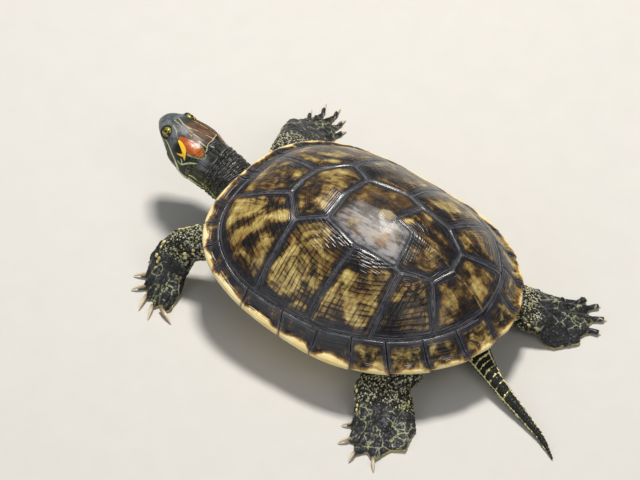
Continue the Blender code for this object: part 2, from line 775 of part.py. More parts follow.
def add_front_right(parent):
    """Arm stretched forwards and out, with the hand flat on the floor."""
    faces = ((NECK_FACE_HALF, TRUNK_FRONT), SHOULDER_CORNER, SHOULDER_HEIGHT)
    stations = [
        root_station(*faces, -1.0, 0.0130, 0.0115),
        station((-34.0, -76.0, 28.8), (-0.15, -0.98, 0.02), (0.98, -0.15, 0.05), 12.0, 11.2),
        station((-38.5, -88.5, 28.0), (-0.52, -0.84, -0.08), (0.80, -0.56, 0.16), 11.8, 10.2),
        station((-49.0, -97.5, 25.2), (-0.80, -0.52, -0.26), (0.52, -0.78, 0.28), 11.6, 9.2),
        station((-61.5, -102.8, 20.2), (-0.86, -0.36, -0.36), (0.32, -0.88, 0.30), 11.8, 7.9),
        station((-73.5, -108.0, 14.8), (-0.86, -0.32, -0.40), (0.26, -0.92, 0.28), 12.6, 6.6),
        station((-84.5, -111.8, 9.8), (-0.92, -0.16, -0.34), (0.12, -0.96, 0.20), 13.4, 5.2),
    ]
    toes = ((-101.5, -123.0), (-110.0, -119.0), (-112.5, -111.8), (-107.5, -104.8), (-101.0, -100.0))
    claws = ((-110.5, -127.5), (-120.0, -123.8), (-121.3, -113.8), (-115.0, -105.0), (-107.5, -98.5))
    borders = ((-92.5, -125.8), (-91.5, -98.0))
    add_leg_and_foot("front_right", stations, 0.9 * FRONT_WEB, toes, claws, borders, parent, FRONT_CLAW)


def add_hind_left(parent):
    """Thigh under the shell's edge, broad shank and a spread, webbed foot."""
    faces = ((TAIL_FACE_HALF, TRUNK_REAR), HIP_CORNER, HIP_HEIGHT)
    stations = [
        root_station(*faces, 1.0, 0.0135, 0.0095),
        station((44.5, 60.5, 18.0), (0.90, 0.20, -0.06), (0.38, -0.92, 0.05), 13.6, 9.4),
        station((53.0, 57.0, 15.4), (0.92, 0.12, -0.22), (0.40, -0.90, 0.12), 15.2, 8.4),
        station((61.0, 57.6, 12.8), (0.74, 0.46, -0.44), (0.64, -0.75, 0.12), 16.4, 7.6),
        station((66.0, 63.0, 9.4), (0.68, 0.62, -0.34), (0.68, -0.72, 0.08), 17.2, 6.2),
    ]
    toes = ((86.5, 54.6), (97.6, 61.0), (104.8, 70.6), (102.0, 82.8), (84.0, 92.2))
    claws = ((90.2, 50.4), (102.6, 57.4), (110.8, 71.8), (108.0, 87.6))
    borders = ((80.5, 51.8), (66.5, 87.0))
    add_leg_and_foot("hind_left", stations, HIND_WEB, toes, claws, borders, parent, HIND_CLAW)


def add_hind_right(parent):
    """Leg pushed backwards, with its webbed foot spread beside the tail."""
    faces = ((TAIL_FACE_HALF, TRUNK_REAR), HIP_CORNER, HIP_HEIGHT)
    stations = [
        root_station(*faces, -1.0, 0.0135, 0.0095),
        station((-37.5, 69.0, 17.0), (-0.35, 0.92, -0.10), (-0.92, -0.35, 0.05), 13.8, 9.0),
        station((-40.0, 79.5, 13.8), (-0.38, 0.86, -0.28), (-0.84, -0.44, 0.08), 15.0, 8.0),
        station((-46.0, 90.8, 9.6), (-0.60, 0.72, -0.34), (-0.78, -0.58, 0.08), 17.0, 6.2),
    ]
    toes = ((-74.6, 99.0), (-75.2, 107.4), (-69.0, 115.0), (-59.5, 118.8), (-47.0, 119.6))
    claws = ((-79.8, 101.2), (-80.0, 110.8), (-72.8, 120.6), (-61.2, 124.6))
    borders = ((-69.5, 92.4), (-34.0, 110.2))
    add_leg_and_foot("hind_right", stations, HIND_WEB, toes, claws, borders, parent, HIND_CLAW)


def add_tail(parent):
    """Long tapering tail of a male, laid on the floor along its last third."""
    corners = ((-TAIL_FACE_HALF, TRUNK_REAR), (TAIL_FACE_HALF, TRUNK_REAR))
    place, outward = face_centre(*corners, TAIL_ROOT_HEIGHT)
    side = Vector((1.0, 0.0, 0.0))
    stations = [
        (place + outward * GAP, outward, side, 0.0112, 0.0080, 0.0080),
        station((3.4, 81.4, 13.8), (0.34, 0.92, -0.20), (1.0, -0.34, 0.0), 8.8, 7.4),
        station((8.2, 91.2, 11.0), (0.40, 0.90, -0.22), (1.0, -0.4, 0.0), 6.6, 6.4),
        station((12.8, 102.8, 8.4), (0.38, 0.91, -0.18), (1.0, -0.4, 0.0), 5.0, 5.2),
        station((18.0, 117.2, 5.9), (0.38, 0.91, -0.15), (1.0, -0.4, 0.0), 4.1, 4.2),
        station((23.2, 132.8, 3.7), (0.42, 0.89, -0.12), (1.0, -0.45, 0.0), 3.3, 3.3),
        station((28.2, 146.5, 2.2), (0.46, 0.88, -0.06), (1.0, -0.5, 0.0), 2.5, 2.4),
        station((33.6, 156.0, 1.3), (0.50, 0.86, 0.0), (1.0, -0.55, 0.0), 1.6, 1.5),
        station((37.3, 162.0, 0.8), (0.52, 0.85, 0.0), (1.0, -0.6, 0.0), 0.8, 0.8),
    ]
    rings = limb_rings(stations, TAIL_SQUARENESS, 14)
    for ring in rings:
        for point in ring:
            point.z = max(point.z, 0.0)
    solid("tail", lofted_mesh("tail", rings), "skin", parent, 60.0)


# ---------------------------------------------------------------- neck and head

# Head rings: distance ahead of the nape, half width, height over the axis, depth under it, axis
# height, all in millimetres
HEAD_STATIONS = (
    (0.0, 15.0, 10.2, 16.8, 0.0),
    (3.5, 15.6, 10.6, 17.0, 0.0),
    (8.0, 15.7, 10.7, 16.8, 0.0),
    (13.0, 14.8, 10.6, 16.2, 0.0),
    (17.5, 13.3, 10.4, 15.0, 0.0),
    (21.5, 11.9, 10.1, 13.6, 0.0),
    (25.5, 10.6, 9.2, 12.0, 0.0),
    (28.2, 9.4, 8.1, 10.7, 0.0),
    (30.5, 8.3, 7.0, 9.4, 0.0),
    (32.7, 7.1, 5.8, 7.9, -0.1),
    (34.8, 5.8, 4.6, 6.5, -0.3),
    (36.5, 4.4, 3.3, 4.9, -0.5),
    (37.5, 2.9, 2.0, 3.2, -0.7),
)
HEAD_SQUARENESS = 2.5
MOUTH_HEIGHT = -0.0048
MOUTH_SLOPE = math.radians(3.0)
MOUTH_DEPTH = 0.0195  # how far the mouth runs back from the tip of the beak


def head_rings(scale=1.0):
    rings = []
    for ahead, half_width, up, down, axis in HEAD_STATIONS:
        ring = section_ring(
            vec_mm(0.0, -ahead, axis), Vector((0.0, -1.0, 0.0)), Vector((1.0, 0.0, 0.0)),
            half_width * MM * scale, up * MM, down * MM * scale, HEAD_SQUARENESS, 20)
        rings.append(ring)
    return rings


def box_mesh(name, low, high):
    bm = bmesh.new()
    bmesh.ops.create_cube(bm, size=1.0)
    for vert in bm.verts:
        for axis in range(3):
            vert.co[axis] = high[axis] if vert.co[axis] > 0.0 else low[axis]
    mesh = bpy.data.meshes.new(name)
    bm.to_mesh(mesh)
    bm.free()
    return mesh


def ball_mesh(name, radius, segments, rings):
    bm = bmesh.new()
    bmesh.ops.create_uvsphere(bm, u_segments=segments, v_segments=rings, radius=radius)
    mesh = bpy.data.meshes.new(name)
    bm.to_mesh(mesh)
    bm.free()
    return mesh


def add_head(parent):
    """Skull with eye sockets and the lower jaw cut free under the mouth line."""
    frame = empty("head_frame", HEAD_PLACE, (HEAD_PITCH, 0.0, HEAD_YAW), parent)
    head = solid("head", lofted_mesh("head", head_rings()), "skin", frame, 60.0)
    jaw = solid("lower_jaw", lofted_mesh("lower_jaw", head_rings(0.955)), "jaw", frame, 60.0)
    tip = -HEAD_STATIONS[-1][0] * MM
    back = tip + MOUTH_DEPTH
    clear = cutter("mouth_cut", box_mesh("mouth_cut", (-0.03, tip - 0.01, -0.03), (0.03, back, 0.0)), frame)
    clear.location = (0.0, 0.0, MOUTH_HEIGHT)
    clear.rotation_euler = (-MOUTH_SLOPE, 0.0, 0.0)
    keep_box = box_mesh("jaw_block", (-0.03, tip - 0.01, -0.03), (0.03, back - GAP, -GAP))
    keep = cutter("jaw_block", keep_box, frame)
    keep.location = clear.location
    keep.rotation_euler = clear.rotation_euler
    boolean(head, clear, "DIFFERENCE")
    boolean(jaw, keep, "INTERSECT")
    for side, sign in (("left", 1.0), ("right", -1.0)):
        place = (sign * EYE_PLACE[0], EYE_PLACE[1], EYE_PLACE[2])
        socket = cutter("socket_" + side, ball_mesh("socket_" + side, EYE_RADIUS + 2.0 * GAP, 16, 10), frame)
        socket.location = place
        boolean(head, socket, "DIFFERENCE")
        eye = solid("eye_" + side, ball_mesh("eye_" + side, EYE_RADIUS, 14, 9), "eye", frame, 60.0)
        eye.location = place


def add_neck(parent):
    """Wrinkled neck's solid: from the trunk's front face up to the back of the head."""
    corners = ((-NECK_FACE_HALF, TRUNK_FRONT), (NECK_FACE_HALF, TRUNK_FRONT))
    place, outward = face_centre(*corners, NECK_ROOT_HEIGHT)
    turn = Matrix.Rotation(HEAD_YAW, 3, "Z") @ Matrix.Rotation(HEAD_PITCH, 3, "X")
    nape = Vector(HEAD_PLACE)
    ahead = turn @ Vector((0.0, -1.0, 0.0))
    side = turn @ Vector((1.0, 0.0, 0.0))
    _, half_width, up, down, _ = HEAD_STATIONS[0]
    stations = [
        (place + outward * GAP, outward, Vector((1.0, 0.0, 0.0)), 0.0160, 0.0123, 0.0123),
        station((-0.8, -85.0, 31.6), (-0.06, -0.99, 0.10), (1.0, 0.0, 0.0), 15.4, 12.2),
        station((-1.0, -96.5, 33.6), (-0.04, -0.98, 0.22), (1.0, 0.0, 0.0), 14.9, 12.0, 13.0),
        station((-2.4, -106.5, 37.4), (0.00, -0.94, 0.32), (1.0, 0.0, 0.0), 15.0, 12.0, 14.8),
        station((-1.9, -115.2, 41.2), (0.04, -0.92, 0.36), (1.0, 0.0, 0.0), 15.2, 11.0, 16.2),
        (nape - ahead * GAP, ahead, side, half_width * MM, up * MM, down * MM),
    ]
    solid("neck", lofted_mesh("neck", limb_rings(stations, NECK_SQUARENESS, 20)), "skin", parent, 60.0)


# ---------------------------------------------------------------- assembly


def centre_over_origin(root):
    """Move the whole animal in plan so that its box is centred on the origin."""
    bpy.context.view_layer.update()
    graph = bpy.context.evaluated_depsgraph_get()
    corners = []
    for obj in bpy.context.scene.objects:
        if obj.type != "MESH" or obj.hide_render:
            continue
        shape = obj.evaluated_get(graph)
        corners += [shape.matrix_world @ vert.co for vert in shape.data.vertices]
    middle = [(min(c[axis] for c in corners) + max(c[axis] for c in corners)) / 2.0 for axis in range(2)]
    root.location = (-middle[0], -middle[1], 0.0)
    bpy.context.view_layer.update()


def main():
    clear_scene()
    root = empty("turtle", (0.0, 0.0, 0.0), (0.0, 0.0, 0.0), None)
    shell = empty("shell", (0.0, 0.0, SHELL_LIFT), (-SHELL_PITCH, 0.0, 0.0), root)
    add_marginal_plates(shell)
    add_dorsal_plates(shell)
    add_plastron(shell)
    add_trunk(shell)
    add_neck(root)
    add_head(root)
    add_front_left(root)
    add_front_right(root)
    add_hind_left(root)
    add_hind_right(root)
    add_tail(root)
    centre_over_origin(root)


main()
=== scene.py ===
"""Detailed visual model of a red-eared slider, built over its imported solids.

The shell's plates follow one dome formula and carry growth rings and grooves. One skin covers the head, the
neck, the trunk, the limbs and the tail, and horny scales lie on it. Lengths are in metres; places, angles and
sizes written in millimetres or degrees say so and are turned by MM or by numpy.
"""

import json
import logging
import math
from dataclasses import dataclass
from enum import Enum

import bmesh
import bpy
import numpy as np
from mathutils import Matrix, Vector

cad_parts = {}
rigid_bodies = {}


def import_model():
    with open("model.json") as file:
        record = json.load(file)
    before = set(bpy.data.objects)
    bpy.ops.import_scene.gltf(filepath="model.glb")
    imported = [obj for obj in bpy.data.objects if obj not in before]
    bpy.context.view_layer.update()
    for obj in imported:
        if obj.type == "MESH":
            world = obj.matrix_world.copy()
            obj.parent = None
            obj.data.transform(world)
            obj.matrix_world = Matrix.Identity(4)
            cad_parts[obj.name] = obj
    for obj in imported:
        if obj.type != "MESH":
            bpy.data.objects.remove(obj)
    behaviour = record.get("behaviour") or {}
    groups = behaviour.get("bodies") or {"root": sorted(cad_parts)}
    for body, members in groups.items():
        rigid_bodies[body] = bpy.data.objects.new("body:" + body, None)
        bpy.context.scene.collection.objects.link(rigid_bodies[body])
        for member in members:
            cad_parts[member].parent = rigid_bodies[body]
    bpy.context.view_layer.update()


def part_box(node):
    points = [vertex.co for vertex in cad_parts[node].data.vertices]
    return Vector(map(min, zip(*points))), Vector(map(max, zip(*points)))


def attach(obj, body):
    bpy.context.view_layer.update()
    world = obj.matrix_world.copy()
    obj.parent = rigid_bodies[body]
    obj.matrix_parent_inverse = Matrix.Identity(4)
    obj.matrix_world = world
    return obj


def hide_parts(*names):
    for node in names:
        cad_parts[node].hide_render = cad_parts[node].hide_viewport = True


LOG = logging.getLogger("slider")
MM = 0.001
SEED = 20
SIDES = (("left", 1.0), ("right", -1.0))  # the animal's left is +X
FAR = 9.0  # a distance, in millimetres, at which no marking shows

# The carapace's own frame
SHELL_LENGTH = 0.19
SHELL_PITCH = math.radians(3.5)
SHELL_LIFT = 0.02
RIM_FRONT_DROP = 0.0012  # the rim's edge under the dome formula at the front

# The head's own frame: origin between the eyes, nose along -Y
HEAD_PITCH = math.radians(-8.0)
EYE_RADIUS = 0.004
EYE_GAP = 7.9  # from the head's middle to an eye, in millimetres
HEAD_AXIS_DROP = 3.8  # the head's long axis under the line between the eyes, in millimetres

Array = np.ndarray
Value = "Wire | bpy.types.NodeSocket | float | tuple"


# ---- number helpers


def smooth_step(low: float, high: float, value: Array | float) -> Array | float:
    """Hermite step from 0 at low to 1 at high, for numbers and arrays."""
    t = np.clip((value - low) / (high - low), 0.0, 1.0)
    return t * t * (3.0 - 2.0 * t)


def mix(a: Array | float, b: Array | float, t: Array | float) -> Array | float:
    """Linear blend of a and b."""
    return a + (b - a) * t


def bump_at(value: Array | float, centre: float, width: float) -> Array | float:
    """A smooth hill of height 1 at centre, gone at one width from it."""
    return 1.0 - smooth_step(0.0, width, np.abs(value - centre))


def around_fold(degrees: Array) -> Array:
    """Height angle round a stretch, -90 below to 90 above, the same on both sides."""
    return np.degrees(np.arcsin(np.clip(np.sin(np.radians(degrees)), -1.0, 1.0)))


def flat_points(plan: Array) -> Array:
    """Plan positions as points at height 0."""
    return np.column_stack([plan, np.zeros(len(plan))])


@dataclass(frozen=True)
class Noise:
    """Seeded value noise in -1 to 1, the same on every run."""

    seed: int = SEED

    def _lattice(self, cell: Array) -> Array:
        """Random value of each lattice point, by integer hashing.

        Args:
            cell: whole-number coordinates, one point in each row.

        Returns:
            A value in -1 to 1 for each point.
        """
        mixed = cell[..., 0] * 374761393 + cell[..., 1] * 668265263 + cell[..., 2] * 1440662683
        mixed = (mixed + self.seed * 1274126177) & 0xFFFFFFFF
        mixed = ((mixed ^ (mixed >> 13)) * 1274126177) & 0xFFFFFFFF
        mixed = mixed ^ (mixed >> 16)
        return (mixed & 0xFFFF) / 32767.5 - 1.0

    def __call__(self, points: Array, size: float) -> Array:
        """Smooth noise.

        Args:
            points: one point in each row.
            size: distance over which the noise changes.

        Returns:
            The noise at each point.
        """
        scaled = np.asarray(points, float) / size
        base = np.floor(scaled).astype(np.int64)
        part = scaled - base
        part = part * part * (3.0 - 2.0 * part)
        total = np.zeros(len(scaled))
        for corner in np.ndindex(2, 2, 2):
            weight = np.ones(len(scaled))
            for axis, step in enumerate(corner):
                weight *= part[:, axis] if step else 1.0 - part[:, axis]
            total += weight * self._lattice(base + np.array(corner))
        return total

    def fractal(self, points: Array, size: float) -> Array:
        """Sum of three octaves of noise, each half as large and half as strong."""
        return sum(self(points + 7.3 * octave * size, size / 2**octave) / 2**octave for octave in range(3))


def nearest_on_path(points: Array, path: Array, closed: bool = False) -> tuple[Array, Array, Array]:
    """Nearest place on a polyline.

    Args:
        points: one point in each row.
        path: the polyline's corners, one in each row.
        closed: True when the last corner joins the first.

    Returns:
        Distance, index of the nearest segment, share along that segment.
    """
    starts = path if closed else path[:-1]
    ends = np.roll(path, -1, axis=0) if closed else path[1:]
    best = np.full(len(points), np.inf)
    index = np.zeros(len(points), int)
    share = np.zeros(len(points))
    for i, (a, b) in enumerate(zip(starts, ends)):
        run = b - a
        t = np.clip((points - a) @ run / max(float(run @ run), 1e-18), 0.0, 1.0)
        gap = np.linalg.norm(points - (a + t[:, None] * run), axis=1)
        closer = gap < best
        best[closer], index[closer], share[closer] = gap[closer], i, t[closer]
    return best, index, share


def smooth_loop(points: Array, count: int, window: float) -> Array:
    """A closed polygon with its corners rounded.

    Args:
        points: the polygon's corners.
        count: number of points in the result, evenly spaced.
        window: length over which a corner is rounded.

    Returns:
        The rounded loop's points.
    """
    closed = np.vstack([points, points[:1]])
    run = np.concatenate([[0.0], np.cumsum(np.linalg.norm(np.diff(closed, axis=0), axis=1))])
    at = np.linspace(0.0, run[-1], count, endpoint=False)
    even = np.column_stack([np.interp(at, run, closed[:, axis]) for axis in range(points.shape[1])])
    reach = max(1, int(round(0.5 * window / (run[-1] / count))))
    weights = np.hanning(2 * reach + 3)[1:-1]
    weights /= weights.sum()
    shifted = (weight * np.roll(even, step - reach, axis=0) for step, weight in enumerate(weights))
    return sum(shifted, np.zeros_like(even))


def smooth_path(points: Array, steps: int) -> Array:
    """A Catmull-Rom curve.

    Args:
        points: the points it passes through.
        steps: pieces in each span.

    Returns:
        The curve's points.
    """
    padded = np.vstack([2.0 * points[0] - points[1], points, 2.0 * points[-1] - points[-2]])
    t = (np.arange(steps) / steps)[:, None]
    spans = [
        0.5 * (2.0 * p1 + (p2 - p0) * t + (2.0 * p0 - 5.0 * p1 + 4.0 * p2 - p3) * t**2
               + (3.0 * p1 - p0 - 3.0 * p2 + p3) * t**3)
        for p0, p1, p2, p3 in zip(padded, padded[1:], padded[2:], padded[3:])
    ]
    return np.vstack([*spans, padded[-2]])


def path_frame(path: Array) -> tuple[Array, Array]:
    """Lengths and directions of a path.

    Args:
        path: its corners, one in each row.

    Returns:
        Length run at each corner, and each segment's direction.
    """
    steps = np.diff(path, axis=0)
    lengths = np.linalg.norm(steps, axis=1)
    return np.concatenate([[0.0], np.cumsum(lengths)]), steps / lengths[:, None]


# ---- mesh helpers


def link_new(name: str, data: bpy.types.ID) -> bpy.types.Object:
    """A new object in the scene.

    Args:
        name: the object's name.
        data: its mesh, camera or light.

    Returns:
        The object.
    """
    obj = bpy.data.objects.new(name, data)
    bpy.context.scene.collection.objects.link(obj)
    return obj


def mesh_of(work: bmesh.types.BMesh, name: str) -> bpy.types.Mesh:
    """A new mesh from a bmesh, which is freed.

    Args:
        work: the bmesh.
        name: the mesh's name.

    Returns:
        The mesh.
    """
    mesh = bpy.data.meshes.new(name)
    work.to_mesh(mesh)
    work.free()
    return mesh


def new_piece(name: str, points: Array, faces: list, marks: dict | None = None) -> bpy.types.Object:
    """A smooth mesh object at the origin.

    Args:
        name: the object's name.
        points: its points, one in each row.
        faces: tuples of point indices.
        marks: float attributes of the points, by name.

    Returns:
        The object.
    """
    mesh = bpy.data.meshes.new(name)
    mesh.from_pydata([tuple(p) for p in points], [], faces)
    mesh.validate()
    mesh.update()
    mesh.shade_smooth()
    for key, values in (marks or {}).items():
        write_attribute(mesh, key, values)
    return link_new(name, mesh)


def closed_piece(name: str, points: Array, faces: list, marks: dict | None = None) -> bpy.types.Object:
    """A new piece as new_piece makes it, with all its faces turned outwards.

    Args:
        name: the object's name.
        points: its points, one in each row.
        faces: tuples of point indices.
        marks: float attributes of the points, by name.

    Returns:
        The object.
    """
    obj = new_piece(name, points, faces, marks)
    work = bmesh.new()
    work.from_mesh(obj.data)
    bmesh.ops.recalc_face_normals(work, faces=work.faces)
    work.to_mesh(obj.data)
    work.free()
    return obj


def write_attribute(mesh: bpy.types.Mesh, name: str, values: Array) -> None:
    """Store one float for each point of a mesh."""
    layer = mesh.attributes.new(name, "FLOAT", "POINT")
    layer.data.foreach_set("value", np.asarray(values, np.float32))


def read_points(mesh: bpy.types.Mesh, kind: str = "co") -> Array:
    """The mesh's points or their normals.

    Args:
        mesh: the mesh.
        kind: co for places, normal for normals.

    Returns:
        The rows.
    """
    flat = np.zeros(len(mesh.vertices) * 3, np.float32)
    mesh.vertices.foreach_get(kind, flat)
    return flat.reshape(-1, 3).astype(float)


def write_points(mesh: bpy.types.Mesh, points: Array) -> None:
    """Move the mesh's points."""
    mesh.vertices.foreach_set("co", np.asarray(points, np.float32).ravel())
    mesh.update()


def ring_faces(rows: int, columns: int) -> list:
    """Quads between closed rings of points stored one ring after another.

    Args:
        rows: number of rings.
        columns: points in each ring.

    Returns:
        The faces.
    """
    return [
        (i * columns + j, i * columns + k, (i + 1) * columns + k, (i + 1) * columns + j)
        for i in range(rows - 1)
        for j, k in ((j, (j + 1) % columns) for j in range(columns))
    ]


def capped_faces(rows: int, columns: int) -> list:
    """Faces between closed rings, with one more face over the first ring and one over the last."""
    last = (rows - 1) * columns
    return [*ring_faces(rows, columns), tuple(range(columns)), tuple(reversed(range(last, last + columns)))]


def apply_modifiers(obj: bpy.types.Object) -> None:
    """Replace the object's mesh by its evaluated one and drop the modifiers.

    Args:
        obj: the object.
    """
    graph = bpy.context.evaluated_depsgraph_get()
    mesh = bpy.data.meshes.new_from_object(obj.evaluated_get(graph), depsgraph=graph)
    obj.modifiers.clear()
    old, obj.data = obj.data, mesh
    bpy.data.meshes.remove(old)


def dress(obj: bpy.types.Object, material: bpy.types.Material, slot: str, *nodes: str) -> bpy.types.Object:
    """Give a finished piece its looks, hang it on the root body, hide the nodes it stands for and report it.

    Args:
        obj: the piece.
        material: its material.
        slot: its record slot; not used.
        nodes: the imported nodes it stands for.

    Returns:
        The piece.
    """
    obj.data.materials.clear()
    obj.data.materials.append(material)
    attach(obj, "root")
    if nodes:
        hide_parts(*nodes)
    LOG.info("%s: %d faces", obj.name, len(obj.data.polygons))
    return obj


# ---- the shell's form


@dataclass(frozen=True)
class Dome:
    """The carapace's outer face as one formula, in its own frame; ratios are to its length."""

    length: float = SHELL_LENGTH
    half_width: float = 0.407
    widest_at: float = 0.055
    front_squareness: float = 2.95
    rear_squareness: float = 1.95
    crown: float = 0.303
    rim_front: float = 0.125
    rim_side: float = 0.05
    rim_rear: float = 0.074
    flare_front: float = 0.538
    flare_side: float = 0.855
    flare_rear: float = 0.449
    reach: float = 0.95
    power: float = 1.97
    roundness: float = 1.23
    blend: float = 0.04
    keel_height: float = 0.0016
    keel_half_width: float = 0.0055
    slope_step: float = 0.0015

    def half(self, rear: Array | bool) -> tuple[Array, Array]:
        """Squareness and length ratio of the rear half's outline where rear is true, else the front's."""
        squareness = np.where(rear, self.rear_squareness, self.front_squareness)
        return squareness, np.where(rear, 0.5 - self.widest_at, 0.5 + self.widest_at)

    def height(self, x: Array, y: Array) -> Array:
        """Height over the shell's base plane.

        Args:
            x: places to the left of the midline, in metres.
            y: places behind the shell's middle, in metres.

        Returns:
            The heights, in metres.
        """
        rear = y / self.length > self.widest_at
        squareness, reach = self.half(rear)
        across = np.abs(x / self.length) / self.half_width
        along = np.abs(y / self.length - self.widest_at) / reach
        r = (across**squareness + along**squareness) ** (1.0 / squareness)
        side = across**2 / (across**2 + along**2 + 1e-9)
        rim = mix(np.where(rear, self.rim_rear, self.rim_front), self.rim_side, side)
        flare = mix(np.where(rear, self.flare_rear, self.flare_front), self.flare_side, side)
        dome = np.maximum(0.0, 1.0 - (r / self.reach) ** self.power) ** (1.0 / self.roundness)
        skirt = flare * (1.0 - r)
        share = 0.5 * (dome + skirt + np.sqrt((dome - skirt) ** 2 + self.blend**2))
        return self.length * (rim + (self.crown - rim) * share)

    def keel(self, x: Array, y: Array) -> Array:
        """The low ridge along the midline, higher towards the tail."""
        height = self.keel_height * smooth_step(-0.09, 0.05, y)
        return height * np.exp(-np.abs(x / self.keel_half_width) ** 1.6)

    def surface(self, plan: Array, lift: Array | float) -> Array:
        """Points on the dome.

        Args:
            plan: places seen from above, one in each row.
            lift: distance out along the surface's normal.

        Returns:
            The points in the shell's own frame.
        """
        x, y = plan.T
        step = self.slope_step
        slope_x = (self.height(x + step, y) - self.height(x - step, y)) / (2.0 * step)
        slope_y = (self.height(x, y + step) - self.height(x, y - step)) / (2.0 * step)
        normal = np.column_stack([-slope_x, -slope_y, np.ones_like(x)])
        normal /= np.linalg.norm(normal, axis=1)[:, None]
        place = np.column_stack([x, y, self.height(x, y)])
        return place + normal * np.broadcast_to(lift, x.shape)[:, None]

    def ring(self, degrees: Array | float, r: Array | float) -> Array:
        """Plan points on the outline or inside it.

        Args:
            degrees: angles from the front, positive to the left.
            r: share of the way from the middle to the rim.

        Returns:
            The points, one in each row.
        """
        angle = np.radians(np.atleast_1d(np.asarray(degrees, float)))
        rear = np.cos(angle) < 0.0
        squareness, reach = self.half(rear)
        x = self.half_width * np.abs(np.sin(angle)) ** (2.0 / squareness) * np.sign(np.sin(angle))
        y = reach * np.abs(np.cos(angle)) ** (2.0 / squareness)
        y = np.where(rear, y, -y)
        return np.column_stack([r * x, self.widest_at + r * y]) * self.length


@dataclass(frozen=True)
class ShellFrame:
    """Places the shell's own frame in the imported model."""

    origin: Array
    turn: Array

    @classmethod
    def from_nodes(cls, dome: Dome) -> "ShellFrame":
        """Read the shell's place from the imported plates' boxes.

        Args:
            dome: the shell's form.

        Returns:
            The frame.
        """
        low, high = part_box("vertebral_scute_1")
        nose_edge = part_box("nuchal_scute")[0].y
        front_y = -0.5 * dome.length
        front_z = float(dome.height(0.0, front_y)) - RIM_FRONT_DROP
        rim_y = front_y * math.cos(SHELL_PITCH) + front_z * math.sin(SHELL_PITCH)
        origin = np.array([(low.x + high.x) / 2.0, nose_edge - rim_y, SHELL_LIFT])
        return cls(origin, np.array(Matrix.Rotation(-SHELL_PITCH, 3, "X")))

    def world(self, points: Array) -> Array:
        """Points of the shell's own frame, in the model's frame."""
        return points @ self.turn.T + self.origin

    def plan_mm(self, x: float, y: float, z: float) -> Array:
        """A place given in millimetres from the shell's middle and from the floor."""
        return np.array([self.origin[0] + x * MM, self.origin[1] + y * MM, z * MM])


class ScuteLook(Enum):
    """How a plate of the back is marked."""

    RAYED = "rayed"
    GRID = "grid"
    LINED = "lined"
    BANDED = "banded"
    MOTTLED = "mottled"
    # Pale patch of the third plate: partly worn, bleached horn and partly a painted reflection of glare
    BLEACHED = "bleached"
    DARK = "dark"


@dataclass(frozen=True)
class Scute:
    """One plate of the back: its outline in plan, where its growth began and its look."""

    name: str
    number: int
    outline: Array
    areola: Array
    look: ScuteLook


